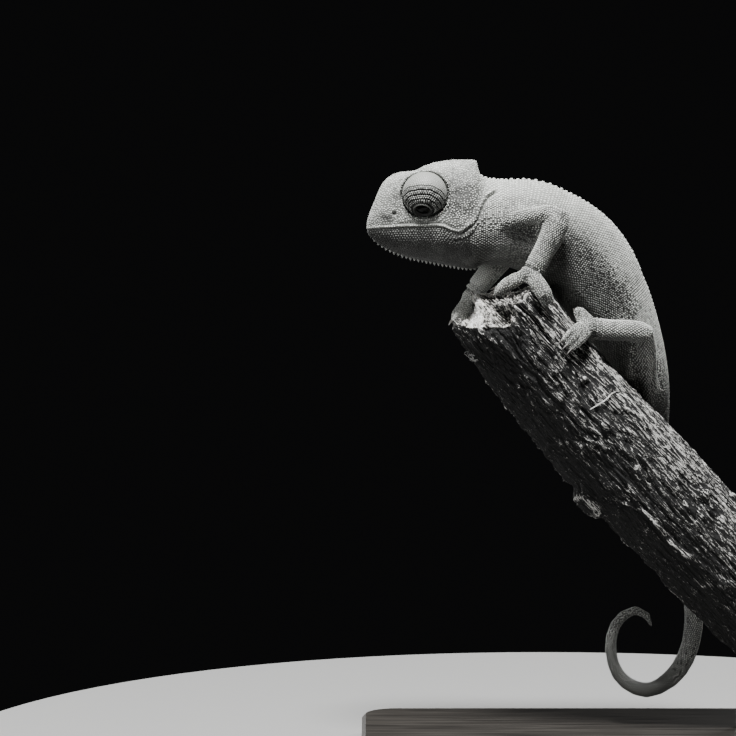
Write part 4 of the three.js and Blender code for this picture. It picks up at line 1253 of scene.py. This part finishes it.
# Splinters stand along the torn rim and inside it
SPLINTERS, WISPS, WISP_BENDS = 420, 11, 5
LEAN = Vector((0.2, 1, 0.3))
UNWRAP_SPOT = (0.5, 0.5)
dice = np.random.default_rng(12)
seats = []
for _ in range(SPLINTERS):
    ranges = [dice.uniform(-180, -60), dice.uniform(90, 180), dice.uniform(-60, 90)]
    turn = dice.choice(ranges, p=[0.45, 0.4, 0.15])
    share = 1 - 0.5 * dice.random() ** 1.3
    start = torn_depth(np.array(round_about(turn, 8 * share))) + 0.45
    base = on_perch(start, turn, -0.75, share)
    way = -Vector(perch_way[60]) + Vector(dice.normal(0, 0.2, 3))
    tall = dice.uniform(0.45, 1.15) * (1.1 if share > 0.9 else 0.9)
    standing = ramp(base[0], [(-18.2, 0), (-17.5, 1), (-15.9, 1), (-15.3, 0)])
    if share < 0.9 and dice.random() > standing:
        continue
    glow = dice.uniform(-0.3, 0.4) + 0.5 * standing
    radius = dice.uniform(0.05, 0.12) * MM
    seats.append((Vector(base) * MM, way.normalized(), LEAN, radius, tall * MM, glow, UNWRAP_SPOT))
splinters = spikes("branch_splinters", seats, bark_and_wood, CONE)
give(splinters.data, "wood", np.ones(len(splinters.data.vertices)))

# Loose strands: a pale sliver across the bark, and a tangle of wisps that hangs below the torn rim
STRAND_SIDES = 8
strands = [  # thickness in mm, then places by mm down the axis, degrees round and mm off the bark
    (0.12, [(24.3, -82.4, 0.05), (24.9, -64.0, 0.32), (25.0, -54.0, 0.24), (25.4, -46.3, 0.12)]),
]
for _ in range(WISPS):
    spot = np.array([8.3, -166.0, 0.35]) + dice.normal(0, 1, 3) * (0.25, 3.0, 0.1)
    wisp = [spot]
    for _ in range(WISP_BENDS):
        drift = np.array([0.3, 5.0, 0.0]) * dice.uniform(-0.3, 0.8)
        spot = spot + drift + dice.normal(0, 1, 3) * (0.24, 2.2, 0.22)
        spot[2] = min(1.0, max(0.05, spot[2]))
        wisp.append(spot)
    strands.append((dice.uniform(0.018, 0.032), wisp))
points, faces = [], []
for thick, spots in strands:
    line = fine_line(on_perch(*np.transpose(spots)), 0.1)
    first = len(points)
    for ring, (centre, way) in enumerate(zip(line, np.gradient(line, axis=0))):
        t = ring / (len(line) - 1)
        across = Vector(way).cross(Vector((0.1, -1, 0.4))).normalized()
        other = across.cross(Vector(way).normalized())
        unlike = 0.85 + 0.3 * noise.noise(Vector((3 * t, 3, first)))
        wide = thick * (0.45 + 0.55 * math.sin(math.pi * t)) * unlike
        for turn in np.arange(STRAND_SIDES) * 2 * math.pi / STRAND_SIDES:
            side = across * math.cos(turn) * 1.3 + other * math.sin(turn)
            points.append((Vector(centre) + side * wide) * MM)
    faces += ring_faces(first, len(line), STRAND_SIDES)
    faces += cap(first, STRAND_SIDES) + cap(len(points) - STRAND_SIDES, STRAND_SIDES)
loose = solid_piece("branch_strands", points, faces, np.full(len(points), 0.9), bark_and_wood)
give(loose.data, "wood", np.ones(len(points)))

# ---- Stand ----
# A flat block of dark oiled wood with eased edges, and a brushed steel rod that is let into the
# block and into the underside of the perch. Both keep the shapes they are machined to.
OILED = ((0.012, 0.0105, 0.009), (0.05, 0.045, 0.039))
STEEL = ((0.34, 0.345, 0.35), (0.5, 0.505, 0.51))
STAND = [  # node, finish, stretch and scale of the grain, dark and pale, roughness, metal
    ("stand_base", "oiled_wood", (0.07, 1, 1), 900, OILED, (0.34, 0.55), 0.0),
    ("stand_rod", "brushed_steel", (1, 1, 0.04), 5000, STEEL, (0.28, 0.46), 1.0),
]
for node, name, stretch, scale, (dark, pale), roughness, metal in STAND:
    finish, shader, add = new_finish(name)
    wire(shader, {"Metallic": metal})
    whole = add("TexCoord", {}).outputs["Object"]
    drawn = add("Mapping", {"Vector": whole, "Scale": stretch}).outputs["Vector"]
    grain = add("TexNoise", {"Vector": drawn, "Scale": scale, "Detail": 6, "Distortion": 0.4}).outputs["Fac"]
    colour = colours(add, grain, [(0.3, dark), (0.72, pale)])
    finish_surface(shader, add, colour, grain, roughness, grain, 0.25, 0.05 * MM)
    for material_slot in frame["nodes"][node].material_slots:
        material_slot.material = finish

# ---- Studio ----
# A plain pale floor, one big soft light overhead, a weak one from the left and low ones behind,
# in a dim room, so that the pale animal stands out.
bpy.ops.mesh.primitive_cylinder_add(vertices=96, radius=0.1, depth=0.002, location=(0, 0, -0.001))
floor = bpy.context.object
floor.name = "floor"
bpy.ops.object.transform_apply(location=True, rotation=True, scale=True)
matt, shader, add = new_finish("pale_floor")
wire(shader, {"Base Color": (0.34, 0.34, 0.335, 1), "Roughness": 0.9})
floor.data.materials.append(matt)

SHOULDER = Vector((0.0, 0.0, 0.065))
LIGHTS = [  # name, place, size and watts
    ("key_above", (-0.03, -0.135, 0.41), 0.1, 4.5), ("fill_left", (-0.30, -0.30, 0.12), 0.22, 0.6),
    ("back_right", (0.28, 0.32, 0.24), 0.16, 1.2), ("back_left", (-0.25, 0.30, 0.10), 0.2, 0.4),
]
for name, place, size, watts in LIGHTS:
    lamp = bpy.data.lights.new(name, "AREA")
    lamp.shape = "DISK"
    lamp.size = size
    lamp.energy = watts
    light = bpy.data.objects.new(name, lamp)
    light.location = place
    light.rotation_euler = (SHOULDER - Vector(place)).to_track_quat("-Z", "Y").to_euler()
    bpy.context.collection.objects.link(light)
room = bpy.data.worlds.new("dim_room")
room.use_nodes = True
wire(room.node_tree.nodes["Background"], {"Color": (0.004, 0.004, 0.0042, 1), "Strength": 1.0})
bpy.context.scene.world = room
